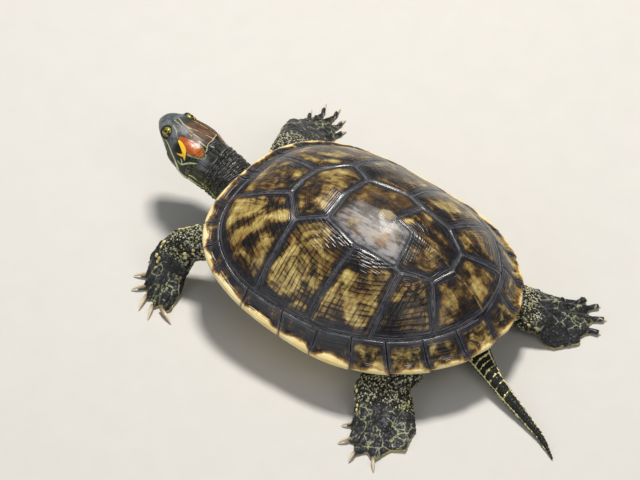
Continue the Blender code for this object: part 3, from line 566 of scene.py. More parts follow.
@dataclass(frozen=True)
class ShellPlan:
    """Seams of the carapace, as outlines of its plates in the shell's own frame.

    Seams of the border are angles in degrees from the front, on the rim and on the inner ring. Seams and
    corners of the back are shares of the shell's length, to the left and behind its middle.
    """

    dome: Dome
    nuchal_half_angle: float = 0.6
    marginal_seams: tuple = (
        (12.5, 13.5), (25.3, 25.1), (40.6, 38.5), (54.2, 50.7), (73.0, 69.4), (86.3, 83.6),
        (94.0, 93.5), (112.0, 110.0), (128.0, 126.0), (144.5, 143.5), (162.0, 161.0), (180.0, 180.0),
    )
    inner_ring_front: float = 0.91
    inner_ring_rear: float = 0.842
    serration: float = 0.016
    tail_notch: float = 0.022
    vertebral_seams: tuple = (
        ((0.064, -0.262), (0.0, -0.266), (-0.064, -0.262)),
        ((0.101, -0.096), (0.0, -0.106), (-0.101, -0.096)),
        ((0.122, 0.182), (0.005, 0.15), (-0.005, 0.082), (-0.116, 0.1)),
        ((0.074, 0.286), (0.0, 0.304), (-0.074, 0.286)),
    )
    vertebral_corners: tuple = ((0.15, -0.18), (0.136, 0.042), (0.12, 0.2))
    pleural_angles: tuple = (10.6, 72.8, 89.3, 118.0, 149.5)
    vertebral_looks: tuple = (
        ScuteLook.MOTTLED, ScuteLook.MOTTLED, ScuteLook.BLEACHED, ScuteLook.DARK, ScuteLook.MOTTLED,
    )
    pleural_looks: tuple = (ScuteLook.RAYED, ScuteLook.GRID, ScuteLook.LINED, ScuteLook.BANDED)
    areola_shift: float = 0.003  # a pleural plate's growth began this far behind its middle

    def inner_ring(self, degrees: Array | float) -> Array | float:
        """Radius of the seam between the marginals and the plates inside them."""
        return mix(self.inner_ring_front, self.inner_ring_rear, smooth_step(60.0, 115.0, np.abs(degrees)))

    def rim_reach(self, degrees: Array, along: Array) -> Array:
        """Radius of the rim: sawn at the rear plates' back corners, notched over the tail."""
        saw = self.serration * smooth_step(95.0, 130.0, degrees) * (along - 0.5)
        return 1.0 + saw - self.tail_notch * smooth_step(172.0, 180.0, degrees)

    def _ring_run(self, start: float, end: float) -> list:
        """Plan points along the inner ring.

        Args:
            start: first angle, in degrees.
            end: last angle, in degrees.

        Returns:
            The points, about four degrees apart.
        """
        count = max(2, round(abs(end - start) / 4.0))
        angles = np.linspace(start, end, count + 1)
        return list(self.dome.ring(angles, self.inner_ring(angles)))

    def _seam(self, index: int) -> list:
        """Plan points of a seam between two vertebral plates, from its left end."""
        return [np.array(pair) * self.dome.length for pair in self.vertebral_seams[index]]

    def _corner(self, index: int, sign: float) -> Array:
        """The corner of a vertebral plate where two pleural plates meet it, left if sign is positive."""
        x, y = self.vertebral_corners[index]
        return np.array([sign * x, y]) * self.dome.length

    def vertebral(self, index: int) -> Scute:
        """One of the five plates along the midline.

        Args:
            index: 0 for the one at the front.

        Returns:
            The plate.
        """
        first, last = self.pleural_angles[0], self.pleural_angles[-1]
        front = self._ring_run(first, -first) if index == 0 else self._seam(index - 1)
        if index == 4:
            rear = self._ring_run(-last, -180.0) + self._ring_run(180.0, last)[1:]
        else:
            rear = self._seam(index)[::-1]
        right, left = ([self._corner(index - 1, sign)] if 1 <= index <= 3 else [] for sign in (-1.0, 1.0))
        outline = np.array(front + right + rear + left)
        areola = np.array([0.0, mix(outline[:, 1].min(), outline[:, 1].max(), 0.6)])
        return Scute(f"vertebral_scute_{index + 1}", index, outline, areola, self.vertebral_looks[index])

    def pleural(self, index: int, side: str, sign: float) -> Scute:
        """One of the four plates beside the midline.

        Args:
            index: 0 for the one at the front.
            side: left or right.
            sign: 1 on the left, -1 on the right.

        Returns:
            The plate.
        """
        angles = self.pleural_angles
        outline = self._ring_run(sign * angles[index + 1], sign * angles[index])
        if index > 0:
            outline.append(self._corner(index - 1, sign))
        outline.append(self._seam(index)[0 if sign > 0.0 else -1])
        if index < 3:
            outline.append(self._corner(index, sign))
        outline = np.array(outline)
        top = outline[np.argmin(np.abs(outline[:, 0]))]
        areola = mix(outline.mean(axis=0), top, 0.62) + np.array([0.0, self.areola_shift])
        look = self.pleural_looks[index] if sign > 0.0 else ScuteLook.DARK
        number = index + (5 if sign > 0.0 else 9)
        return Scute(f"pleural_scute_{side}_{index + 1}", number, outline, areola, look)


# ---- node graphs


@dataclass(frozen=True)
class Wire:
    """A socket's value in a node graph; sums, differences and products of wires become math nodes."""

    graph: "Graph"
    socket: bpy.types.NodeSocket

    def __add__(self, other: Value) -> "Wire":
        """Sum."""
        return self.graph.math("ADD", self, other)

    def __sub__(self, other: Value) -> "Wire":
        """Difference."""
        return self.graph.math("SUBTRACT", self, other)

    def __mul__(self, other: Value) -> "Wire":
        """Product."""
        return self.graph.math("MULTIPLY", self, other)


class Graph:
    """Terse building of nodes; a value may be a wire, a socket, a number or a colour."""

    def __init__(self, tree: bpy.types.NodeTree) -> None:
        """Build in a tree."""
        self.tree = tree

    def node(self, kind: str, **settings: object) -> bpy.types.Node:
        """A new node.

        Args:
            kind: its type.
            settings: its properties, by name.

        Returns:
            The node.
        """
        made = self.tree.nodes.new(kind)
        for key, value in settings.items():
            setattr(made, key, value)
        return made

    def feed(self, socket: bpy.types.NodeSocket, value: Value) -> None:
        """Link a socket, or set its value.

        Args:
            socket: the input.
            value: what it gets.
        """
        if isinstance(value, Wire):
            value = value.socket
        if isinstance(value, bpy.types.NodeSocket):
            self.tree.links.new(value, socket)
        elif socket.type == "RGBA":
            socket.default_value = (*value, 1.0)
        else:
            socket.default_value = value

    def wired(self, kind: str, inputs: dict, output: int | str = 0, **settings: object) -> Wire:
        """A new node with some of its inputs fed.

        Args:
            kind: its type.
            inputs: values by the input's name or number.
            output: name or number of the output that is wanted.
            settings: its properties, by name.

        Returns:
            The wanted output.
        """
        made = self.node(kind, **settings)
        for key, value in inputs.items():
            self.feed(made.inputs[key], value)
        return Wire(self, made.outputs[output])

    def math(self, operation: str, *values: Value) -> Wire:
        """One math node."""
        return self.wired("ShaderNodeMath", dict(enumerate(values)), operation=operation)

    def mad(self, a: Value, b: Value, c: Value) -> Wire:
        """Product of two values plus a third."""
        return self.math("MULTIPLY_ADD", a, b, c)

    def top(self, a: Value, b: Value) -> Wire:
        """The larger of two values."""
        return self.math("MAXIMUM", a, b)

    def blend(self, factor: Value, a: Value, b: Value) -> Wire:
        """Mix of two colours."""
        return self.wired("ShaderNodeMix", {0: factor, 6: a, 7: b}, 2, data_type="RGBA", clamp_factor=True)

    def layers(self, base: Value, *marks: tuple) -> Value:
        """A colour with marks over it.

        Args:
            base: the colour underneath.
            marks: pairs of a weight and a colour, the lowest first.

        Returns:
            The colour.
        """
        for weight, colour in marks:
            base = self.blend(weight, base, colour)
        return base

    def ramp(self, value: Value, *stops: tuple) -> Wire:
        """Colours blended along a value.

        Args:
            value: place on the ramp.
            stops: pairs of a position and a colour.

        Returns:
            The colour.
        """
        made = self.node("ShaderNodeValToRGB")
        self.feed(made.inputs[0], value)
        elements = made.color_ramp.elements
        for element, (position, colour) in zip(elements, (stops[0], stops[-1])):
            element.position = position
            element.color = (*colour, 1.0)
        for position, colour in stops[1:-1]:
            elements.new(position).color = (*colour, 1.0)
        return Wire(self, made.outputs["Color"])

    def step(self, value: Value, low: float, high: float, to_low: float = 0.0, to_high: float = 1.0) -> Wire:
        """Smooth step of a value between two limits."""
        inputs = {"Value": value, "From Min": low, "From Max": high, "To Min": to_low, "To Max": to_high}
        return self.wired("ShaderNodeMapRange", inputs, interpolation_type="SMOOTHSTEP")

    def __getitem__(self, name: str) -> Wire:
        """A float attribute of the mesh."""
        return self.wired("ShaderNodeAttribute", {}, "Fac", attribute_name=name)

    def place(self) -> Wire:
        """Object coordinates."""
        return self.wired("ShaderNodeTexCoord", {}, "Object")

    def noise(self, vector: Value, scale: float, detail: float = 4.0, roughness: float = 0.55,
              distortion: float = 0.0) -> Wire:
        """Fractal noise, 0 to 1.

        Args:
            vector: place.
            scale: how many cells go in a unit.
            detail: octaves.
            roughness: strength of each octave against the one before.
            distortion: how far the noise is bent.

        Returns:
            The noise.
        """
        inputs = {"Vector": vector, "Scale": scale, "Detail": detail, "Roughness": roughness,
                  "Distortion": distortion}
        return self.wired("ShaderNodeTexNoise", inputs, "Fac")

    def vector(self, x: Value, y: Value, z: Value = 0.0) -> Wire:
        """Three values as one vector."""
        return self.wired("ShaderNodeCombineXYZ", {0: x, 1: y, 2: z})

    def group(self, tree: bpy.types.NodeTree, **inputs: Value) -> dict:
        """An instance of a shared node group.

        Args:
            tree: the group.
            inputs: values by the input's name.

        Returns:
            The outputs by name.
        """
        made = self.node("ShaderNodeGroup", node_tree=tree)
        for key, value in inputs.items():
            self.feed(made.inputs[key], value)
        return {socket.name: Wire(self, socket) for socket in made.outputs}


class GroupMaker(Graph):
    """The graph of a new shader node group; all its sockets are floats but the one named Vector."""

    def __init__(self, name: str, inputs: tuple, outputs: tuple) -> None:
        """Make the group and its sockets.

        Args:
            name: the group's name.
            inputs: names of its inputs.
            outputs: names of its outputs.
        """
        super().__init__(bpy.data.node_groups.new(name, "ShaderNodeTree"))
        for way, names in (("INPUT", inputs), ("OUTPUT", outputs)):
            for key in names:
                kind = "NodeSocketVector" if key == "Vector" else "NodeSocketFloat"
                self.tree.interface.new_socket(key, in_out=way, socket_type=kind)
        self.given = {socket.name: Wire(self, socket) for socket in self.node("NodeGroupInput").outputs}

    def finish(self, **outputs: Value) -> bpy.types.NodeTree:
        """Feed the group's outputs.

        Args:
            outputs: values by the output's name.

        Returns:
            The group.
        """
        result = self.node("NodeGroupOutput")
        for key, value in outputs.items():
            self.feed(result.inputs[key], value)
        return self.tree


def seam_group() -> bpy.types.NodeTree:
    """Dark groove and the pale hairlines beside it, from a plate's distance to its edge in mm.

    Returns:
        The node group.
    """
    g = GroupMaker("PlateSeam", ("Edge", "Vector"), ("Groove", "Hairline", "Bed", "Band"))
    edge, place = g.given["Edge"], g.given["Vector"]
    slow = g.noise(place, 120.0) - 0.5
    loose = g.mad(slow, 1.2, edge)
    near = g.step(loose, 0.52, 0.7) * g.step(loose, 0.78, 1.05, 1.0, 0.0)
    far = g.step(loose, 1.45, 1.65) * g.step(loose, 1.7, 1.95, 1.0, 0.0)
    broken = g.step(g.noise(place, 85.0), 0.36, 0.56)
    sparse = g.step(g.noise(place, 60.0), 0.5, 0.62, 0.0, 0.7)
    return g.finish(
        Groove=g.step(edge, 0.03, 0.17, 1.0, 0.0),
        Hairline=g.top(near * broken, far * sparse),
        Bed=g.step(loose, 0.62, 0.9, 1.0, 0.0),
        Band=g.step(g.mad(slow, 4.5, edge), 1.8, 4.6, 1.0, 0.0),
    )


def growth_group() -> bpy.types.NodeTree:
    """Fine growth lines parallel to a plate's edge, from its distance in mm.

    Returns:
        The node group.
    """
    g = GroupMaker("GrowthLines", ("Distance", "Vector", "Spacing"), ("Line", "Height"))
    drift = g.noise(g.given["Vector"], 45.0, 2.0) * 3.2
    value = g.math("DIVIDE", g.given["Distance"] + drift, g.given["Spacing"])
    jitter = g.noise(g.vector(value, 0.0), 0.37, 1.0) * 1.6
    wave = g.math("SINE", (value + jitter) * (2.0 * math.pi))
    return g.finish(Line=g.step(wave, 0.3, 0.92), Height=g.mad(wave, 0.5, 0.5))


def cell_group() -> bpy.types.NodeTree:
    """Small raised granules: a random tone for each, the gap between them and their height.

    Returns:
        The node group.
    """
    g = GroupMaker("Granules", ("Vector", "Scale"), ("Tone", "Gap", "Height"))
    cells = {key: g.given[key] for key in ("Vector", "Scale")}
    colour = g.wired("ShaderNodeTexVoronoi", cells, "Color")
    edge = g.wired("ShaderNodeTexVoronoi", cells, "Distance", feature="DISTANCE_TO_EDGE")
    return g.finish(Tone=g.wired("ShaderNodeSeparateColor", {0: colour}),
                    Gap=g.step(edge, 0.03, 0.14, 1.0, 0.0), Height=g.step(edge, 0.0, 0.38))


@dataclass(frozen=True)
class Gloss:
    """A finish's depth of relief, its clear layer and its index of refraction."""

    depth: float
    coat: float = 0.0
    coat_roughness: float = 0.03
    ior: float = 1.5


class Surface(Graph):
    """The graph of one new material round its own shader."""

    def __init__(self, name: str) -> None:
        """Make the material.

        Args:
            name: its name.
        """
        self.material = bpy.data.materials.new(name)
        self.material.use_nodes = True
        super().__init__(self.material.node_tree)
        self.shader = self.tree.nodes["Principled BSDF"].inputs

    def finish(self, base: Value, rough: Value, height: Value, gloss: Gloss) -> bpy.types.Material:
        """Feed the shader.

        Args:
            base: colour.
            rough: roughness.
            height: relief, as a share of the gloss's depth.
            gloss: values that are the same all over.

        Returns:
            The material.
        """
        normal = self.wired("ShaderNodeBump", {"Distance": gloss.depth, "Height": height}, "Normal")
        values = {"Base Color": base, "Roughness": rough, "Normal": normal, "Coat Weight": gloss.coat,
                  "Coat Roughness": gloss.coat_roughness, "IOR": gloss.ior}
        for key, value in values.items():
            self.feed(self.shader[key], value)
        return self.material


@dataclass(frozen=True)
class Horn:
    """Finish of a horny plate; strengths are 0 to 1, and a stretch above 0 draws the grain head to tail."""

    amber: float
    rows: float
    columns: float
    blotch: float
    contrast: float = 2.3
    stretch: float = 0.0
    # strength of the pale patch: partly worn horn and partly painted glare
    bleach_and_glare: float = 0.0
    coat: float = 0.2
    streak: float = 0.46


HORN_LOOKS = {
    ScuteLook.RAYED: Horn(amber=0.52, rows=0.5, columns=0.15, blotch=0.35, contrast=2.7, streak=0.26),
    ScuteLook.GRID: Horn(amber=0.58, rows=0.85, columns=1.0, blotch=0.55, contrast=2.7, streak=0.2),
    ScuteLook.LINED: Horn(amber=0.57, rows=1.05, columns=0.75, blotch=0.5, contrast=2.7, streak=0.2),
    ScuteLook.BANDED: Horn(amber=0.51, rows=1.0, columns=0.85, blotch=0.65, contrast=3.0, streak=0.22),
    ScuteLook.MOTTLED: Horn(amber=0.48, rows=0.15, columns=0.05, blotch=0.7, contrast=3.0, stretch=1.1),
    ScuteLook.BLEACHED: Horn(amber=0.44, rows=0.1, columns=0.05, blotch=0.5, stretch=1.3, bleach_and_glare=0.75,
                             coat=0.06),
    ScuteLook.DARK: Horn(amber=0.44, rows=0.22, columns=0.05, blotch=0.75, contrast=3.2, stretch=1.8),
}


class Palette:
    """The model's materials, each made once."""

    INK = (0.006, 0.006, 0.008)
    UMBER = (0.02, 0.013, 0.008)
    CHESTNUT = (0.075, 0.04, 0.012)
    OLIVE = (0.175, 0.12, 0.036)
    AMBER = (0.37, 0.275, 0.085)
    STRAW = (0.6, 0.5, 0.21)
    RUST = (0.22, 0.08, 0.016)
    SLATE = (0.026, 0.028, 0.04)
    HAIRLINE = (0.3, 0.31, 0.33)
    CREAM = (0.82, 0.64, 0.27)
    PALE_YELLOW = (0.84, 0.68, 0.24)
    # pale grey of the worn patch: partly worn horn and partly painted glare
    BONE_AND_GLARE = (0.42, 0.41, 0.42)

    def __init__(self) -> None:
        """Make the shared groups and all the materials."""
        self.seam = seam_group()
        self.growth = growth_group()
        self.granules = cell_group()
        self.horn = {look: self._horn(f"horn_{look.value}", finish) for look, finish in HORN_LOOKS.items()}
        self.marginal = self._marginal()
        self.bone = self._bone()
        self.plastron = self._plastron()
        self.skin = self._skin()
        self.claw = self._claw()
        self.eye = self._eye()

    def _tone(self, g: Graph, value: Wire) -> Wire:
        """Horn colours from near black through chestnut and amber to straw."""
        return g.ramp(value, (0.1, self.INK), (0.3, self.UMBER), (0.44, self.CHESTNUT), (0.56, self.OLIVE),
                      (0.72, self.AMBER), (0.92, self.STRAW))

    def _seam_lines(self, g: Graph, seam: dict, fine: Wire, base: Wire) -> Wire:
        """The plate's colour with the seam's pale hairlines and its groove, broken by fine noise."""
        groove = seam["Groove"] * g.step(fine, 0.35, 0.6, 0.1, 0.7)
        return g.layers(base, (seam["Hairline"] * 0.34, self.HAIRLINE), (groove, self.HAIRLINE))

    def _horn(self, name: str, finish: Horn) -> bpy.types.Material:
        """A plate of the back: amber field, dark blotches and lines, dark margin.

        Args:
            name: the material's name.
            finish: strengths of its marks.

        Returns:
            The material.
        """
        g = Surface(name)
        place, edge, outer = g.place(), g["edge"], g["outer"]
        seam = g.group(self.seam, Edge=edge, Vector=place)
        rows = g.group(self.growth, Distance=outer, Vector=place, Spacing=1.9)
        columns = g.group(self.growth, Distance=g["across"], Vector=place, Spacing=3.0)
        rings = g.group(self.growth, Distance=edge, Vector=place, Spacing=1.35)
        wide = g.noise(place, 62.0, 3.0, 0.55, 0.9)
        fine = g.noise(place, 330.0, 5.0, 0.65)
        if finish.stretch:
            x, y, z = (g.wired("ShaderNodeSeparateXYZ", {0: place}, axis) for axis in range(3))
            grain = g.vector(x * (110.0 * finish.stretch), y * 45.0, z * 120.0)
        else:
            grain = g.vector(g["spoke_x"], g["spoke_y"], edge * 0.07)
        streak = g.noise(grain, 1.0, 4.0, 0.6, 0.3)
        total = g.mad(streak, finish.streak, g.mad(wide, 0.84 - finish.streak, fine * 0.16))
        value = g.mad(total - 0.5, finish.contrast, finish.amber)
        patchy = g.step(g.noise(place, 55.0, 2.0), 0.38, 0.6, 0.1, 1.0)
        rowed = rows["Line"] * g.step(wide, 0.62, 0.4, 0.15, 1.0)
        lined = columns["Line"] * patchy * g.step(outer, 22.0, 34.0, 1.0, 0.15)
        low = g.step(outer, 24.0, 13.0, 1.0, 1.45)
        value = g.mad(rowed * low, -0.28 * finish.rows, value)
        value = g.mad(lined * low, -0.24 * finish.columns, value)
        value = g.mad(g.step(outer, 24.0, 40.0), -0.16, value) - seam["Band"] * 0.34
        rust = g.step(g.noise(place, 85.0, 2.0), 0.55, 0.72, 0.0, 0.5)
        base = g.blend(rust * g.step(value, 0.3, 0.6), self._tone(g, value), self.RUST)
        blot = g.step(g.noise(place, 100.0, 3.0, 0.6, 0.8), 0.62 - 0.12 * finish.blotch, 0.7, 0.0, 0.93)
        base = g.blend(blot, base, self.INK)
        rough = g.mad(fine - 0.5, 0.35, 0.3)
        # Pale patch and its pale fleck: partly worn, bleached horn and partly a painted reflection of glare
        if finish.bleach_and_glare:
            crack = g.noise(grain, 2.6, 4.0)
            worn = g["worn"] * g.step(crack, 0.4, 0.58, 0.12, finish.bleach_and_glare)
            flecked = g.step(g.mad(fine - 0.5, 1.3, g["fleck"]), 0.4, 0.95)
            base = g.blend(flecked * 0.6, g.blend(worn, base, self.BONE_AND_GLARE), (0.5, 0.42, 0.25))
            rough = g.mad(g.top(worn, flecked), 0.4, rough + 0.1)
        base = g.blend(seam["Band"] * g.step(fine, 0.35, 0.65, 0.15, 0.55), base, self.SLATE)
        base = g.blend(seam["Bed"] * 0.75, base, self.SLATE)
        base = self._seam_lines(g, seam, fine, base)
        base = g.blend(g["keel"] * g.step(fine, 0.35, 0.65, 0.0, 0.55), base, self.CREAM)
        height = g.mad(rings["Height"], 0.1 if finish.bleach_and_glare else 0.45, fine * 0.6)
        height = g.mad(rows["Height"], 0.6 * finish.rows, height)
        height = g.mad(g.step(g["heart"], 0.0, 0.3), 0.1, g.mad(streak, 0.45, height))
        rough = g.mad(seam["Groove"], 0.3, rough)
        return g.finish(base, rough, height, Gloss(0.0002, finish.coat, 0.12, 1.38))

    def _marginal(self) -> bpy.types.Material:
        """A plate of the border: dark frame, amber window, cream along its rim, yellow below.

        Returns:
            The material.
        """
        g = Surface("horn_border")
        place, edge, out = g.place(), g["edge"], g["out"]
        seam = g.group(self.seam, Edge=edge, Vector=place)
        rings = g.group(self.growth, Distance=edge, Vector=place, Spacing=1.2)
        wide = g.noise(place, 95.0, 3.0, 0.6, 0.8)
        fine = g.noise(place, 340.0, 5.0, 0.65)
        window = g["window"] * g.step(edge, 1.6, 3.2)
        value = g.mad(window, 0.3, g.mad(g.mad(wide, 0.75, fine * 0.25) - 0.5, 2.8, 0.22))
        base = g.blend(g.step(g.noise(place, 130.0), 0.56, 0.68, 0.0, 0.9), self._tone(g, value), self.INK)
        base = g.blend(seam["Bed"] * 0.7, g.blend(seam["Band"] * 0.6, base, self.SLATE), self.SLATE)
        loose = out + (wide - 0.5) * 0.42 + g["moon"] * 0.24
        base = g.blend(g.step(loose, 0.72, 0.85) * 0.55, base, (0.4, 0.2, 0.045))
        pale = g.blend(g.step(wide, 0.4, 0.6), self.CREAM, (0.86, 0.74, 0.4))
        base = g.blend(g.step(loose, 0.82, 0.93) * g.step(edge, 0.3, 1.6, 0.35, 1.0), base, pale)
        under = g.blend(g.step(g["spot"], 0.35, 0.65), self.PALE_YELLOW, self.UMBER)
        base = self._seam_lines(g, seam, fine, g.blend(g.step(out, 1.04, 1.16), base, under))
        height = g.mad(rings["Height"], 0.6, fine * 0.6)
        return g.finish(base, g.step(fine, 0.2, 0.8, 0.24, 0.44), height, Gloss(0.00018, 0.25, 0.12, 1.38))

    def _bone(self) -> bpy.types.Material:
        """The dark bed under the plates, seen only in the grooves.

        Returns:
            The material.
        """
        g = Surface("shell_bed")
        grain = g.noise(g.place(), 400.0)
        base = g.blend(g.step(grain, 0.35, 0.65), (0.03, 0.03, 0.04), (0.13, 0.13, 0.15))
        return g.finish(base, g.step(grain, 0.2, 0.8, 0.45, 0.7), grain, Gloss(0.0001))

    def _plastron(self) -> bpy.types.Material:
        """The underside: yellow horn with a smudge on each plate and fine seams.

        Returns:
            The material.
        """
        g = Surface("horn_plastron")
        place, edge = g.place(), g["edge"]
        fine = g.noise(place, 260.0, 5.0, 0.6)
        wide = g.noise(place, 40.0, 3.0)
        rings = g.group(self.growth, Distance=edge, Vector=place, Spacing=1.6)
        base = g.blend(g.step(wide, 0.3, 0.7), (0.62, 0.44, 0.15), self.PALE_YELLOW)
        smudge = g["spot"] + (wide - 0.5) * 0.5
        base = g.layers(
            base,
            (rings["Line"] * 0.22, (0.35, 0.22, 0.07)),
            (g.step(smudge, 0.42, 0.66, 0.0, 0.88), (0.035, 0.026, 0.018)),
            (g.step(edge, 0.15, 0.5, 1.0, 0.0), (0.1, 0.06, 0.025)),
        )
        height = g.mad(rings["Height"], 0.5, fine * 0.5)
        return g.finish(base, g.step(fine, 0.2, 0.8, 0.3, 0.48), height, Gloss(0.00018, 0.3, 0.2))

    def _skin(self) -> bpy.types.Material:
        """Skin and scales: black ground, cream granules and scale rims, stripes, red ear patch.

        Returns:
            The material.
        """
        g = Surface("skin")
        place, along, turn = g.place(), g["along"], g["turn"]
        neck, limb, hand, tail = (g[f"on_{part}"] for part in ("neck", "limb", "hand", "tail"))
        scale, tone = g["scale"], g["tone"]
        bare = g.math("SUBTRACT", 1.0, scale)
        fine = g.noise(place, 520.0, 5.0, 0.65)
        wide = g.noise(place, 130.0, 3.0, 0.6)
        slant = g.vector((along + turn * 0.5) * 0.62, (turn - along * 0.5) * 1.5)
        wrinkle = g.group(self.granules, Vector=slant, Scale=1.55)
        ridge = g.group(self.growth, Distance=along, Vector=place, Spacing=1.5)
        bead = g.group(self.granules, Vector=place, Scale=1050.0)
        plate = g.group(self.granules, Vector=place, Scale=300.0)
        bent = g.wired("ShaderNodeVectorMath", {0: g.vector(wide, fine, wide), 1: (0.004,) * 3, 2: place},
                       operation="MULTIPLY_ADD")
        creases = g.group(self.granules, Vector=bent, Scale=155.0)
        # Each mark lies over the ones before it: its weight, then its colour
        cream = g.blend(g.step(wide, 0.35, 0.65), (0.66, 0.65, 0.5), (0.5, 0.5, 0.27))
        slate = g.blend(scale * tone, (0.024, 0.026, 0.032), (0.066, 0.068, 0.084))
        streaks = g.noise(g.vector(along * 0.1, turn), 0.9, 3.0)
        brown = g.blend(g.step(streaks, 0.4, 0.6), (0.04, 0.019, 0.008), (0.155, 0.066, 0.018))
        # Painted sheen: pale blue-grey on the head's top and behind the ear patch, over the skin's own grey
        sheen = g.blend(g.step(wide, 0.38, 0.62), (0.07, 0.095, 0.105), (0.185, 0.2, 0.225))
        striped = g.blend(tail, (0.62, 0.72, 0.33), (0.88, 0.84, 0.4))
        ear = g.blend(g.step(wide, 0.35, 0.65), (0.34, 0.07, 0.012), (0.5, 0.15, 0.032))
        # Pale grey on the crests of the neck's folds: a painted highlight
        fold_crest_glints = g.step(ridge["Height"], 0.62, 0.98) * g.step(g.noise(place, 420.0, 2.0), 0.46, 0.58)
        speck = limb * g.step(bead["Tone"], 0.66, 0.76)
        grain = limb * scale * g.step(tone, 0.5, 0.58)
        net = g.step(creases["Gap"], 0.92, 1.0) * g.step(wide, 0.47, 0.58)
        crown = g["crown"] * g.step(wide, 0.36, 0.6, 0.35, 1.0)
        yellow = g.top(g["edge"] * scale * g.step(tone, 0.38, 0.46),
                       g["fringe"] * g.step(wide, 0.36, 0.5))
        ragged = (wide - 0.5) * 0.6
        red = g.step(g.mad(ragged, 0.7, g["red"]), -0.3, 0.15, 1.0, 0.0)
        marks = (
            # The neck's grey wrinkle tone is partly its own grey and partly painted sheen; the pale crest
            # lines after it are painted highlight
            (neck * g.step(wrinkle["Tone"], 0.35, 1.0) * 0.42, (0.085, 0.09, 0.1)),
            (neck * fold_crest_glints * 0.7, (0.24, 0.24, 0.25)),
            (neck * g["throat"] * g.step(wrinkle["Tone"], 0.35, 0.8), (0.19, 0.2, 0.045)),
            (speck * bare * 0.55, cream),
            (grain * g.step(g["rim"], 0.95, 0.6, 0.35, 0.95), cream),
            (hand * g.step(wide, 0.34, 0.62, 0.25, 1.0), slate),
            (hand * g["web"] * g.step(fine, 0.35, 0.6) * 0.6, (0.42, 0.42, 0.2)),
            (net * hand * 0.7, (0.42, 0.45, 0.25)),
            (crown * g.step(fine, 0.25, 0.6, 0.6, 1.0), brown),
            # painted sheen over the grey of the head's top and behind the ear patch
            (g["snout"] * g.step(fine, 0.3, 0.7, 0.6, 0.95), sheen),
            (yellow * g.step(fine, 0.2, 0.5, 0.6, 1.0), (0.76, 0.66, 0.25)),
            (g.step(g["pale"] + ragged, -0.12, 0.14, 1.0, 0.0), striped),
            (g.step(g.mad(ragged, 0.4, g["thread"]), -0.08, 0.12, 1.0, 0.0) * 0.8, (0.6, 0.49, 0.29)),
            (g.step(g["red"], 0.15, 1.5, 1.0, 0.0) * 0.6, self.INK),
            (red, ear),
            (g.step(g.mad(ragged, 0.3, g["gold"]), -0.12, 0.12, 1.0, 0.0), (0.9, 0.56, 0.03)),
            (g["belly"] * g.step(wide, 0.4, 0.6, 0.25, 0.9), (0.46, 0.42, 0.16)),
        )
        base = g.blend(wide, (0.005, 0.005, 0.005), (0.016, 0.018, 0.014))
        base = g.layers(base, *marks)
        folds = neck * g.mad(ridge["Height"], 1.8, wrinkle["Height"])
        beads = bead["Height"] * (g.top(limb, tail) * bare)
        plates = plate["Height"] * (hand * bare * 0.8)
        height = g.mad(g["on_head"], wide * 0.25, folds + beads + g.mad(fine, 0.35, plates))
        rough = g.mad(red, -0.14, g.step(fine, 0.2, 0.8, 0.34, 0.56))
        return g.finish(base, rough, height, Gloss(0.00028, 0.1, 0.15, 1.34))

    def _claw(self) -> bpy.types.Material:
        """Horn of the claws: dark at the base, cream towards the tip, with fine long grain.

        Returns:
            The material.
        """
        g = Surface("horn_claw")
        reach = g["reach"]
        grain = g.noise(g.vector(g["round"] * 9.0, reach * 1.5), 3.0, 4.0)
        base = g.blend(g.step(reach, 0.05, 0.45), (0.3, 0.22, 0.14), (0.7, 0.58, 0.41))
        base = g.layers(base, (g.step(grain, 0.5, 0.7) * 0.4, (0.2, 0.14, 0.08)),
                        (g.step(reach, 0.7, 1.0, 0.0, 0.7), (0.84, 0.76, 0.6)))
        return g.finish(base, g.step(grain, 0.3, 0.7, 0.25, 0.42), grain, Gloss(0.00012, 0.3))

    def _eye(self) -> bpy.types.Material:
        """Wet eye: yellow-green iris, round pupil, dark bar through it and a dark outer ring.

        Returns:
            The material.
        """
        g = Surface("eye")
        x, y = g["gaze_x"], g["gaze_y"]
        radius = g.math("SQRT", x * x + y * y)
        fibre = g.noise(g.vector(g.math("ARCTAN2", y, x), radius * 0.25), 7.0, 3.0)
        wavy = g.math("ABSOLUTE", g.mad(fibre - 0.5, 0.7, y))
        marks = (
            (g.step(radius, 0.95, 1.15) * g.step(radius, 1.25, 1.5, 1.0, 0.0) * 0.6, (0.6, 0.52, 0.05)),
            (g.step(wavy, 0.85, 1.35, 1.0, 0.0) * g.step(radius, 1.05, 1.3) * 0.92, (0.014, 0.012, 0.005)),
            (g.step(y, -1.85, -1.6) * g.step(y, -1.3, -1.05, 1.0, 0.0) * 0.85, (0.72, 0.3, 0.015)),
            (g.step(y, -2.2, -1.85, 0.85, 0.0), (0.02, 0.024, 0.006)),
            (g.step(radius, 0.86, 1.02, 1.0, 0.0), (0.002, 0.002, 0.002)),
            (g.step(radius, 3.05, 3.45), (0.006, 0.006, 0.006)),
        )
        base = g.blend(g.step(fibre, 0.35, 0.65), (0.1, 0.1, 0.006), (0.34, 0.32, 0.018))
        base = g.layers(base, *marks)
        return g.finish(base, g.step(fibre, 0.2, 0.8, 0.1, 0.18), fibre, Gloss(0.00003, 0.6, 0.02, 1.34))


# ---- shell pieces


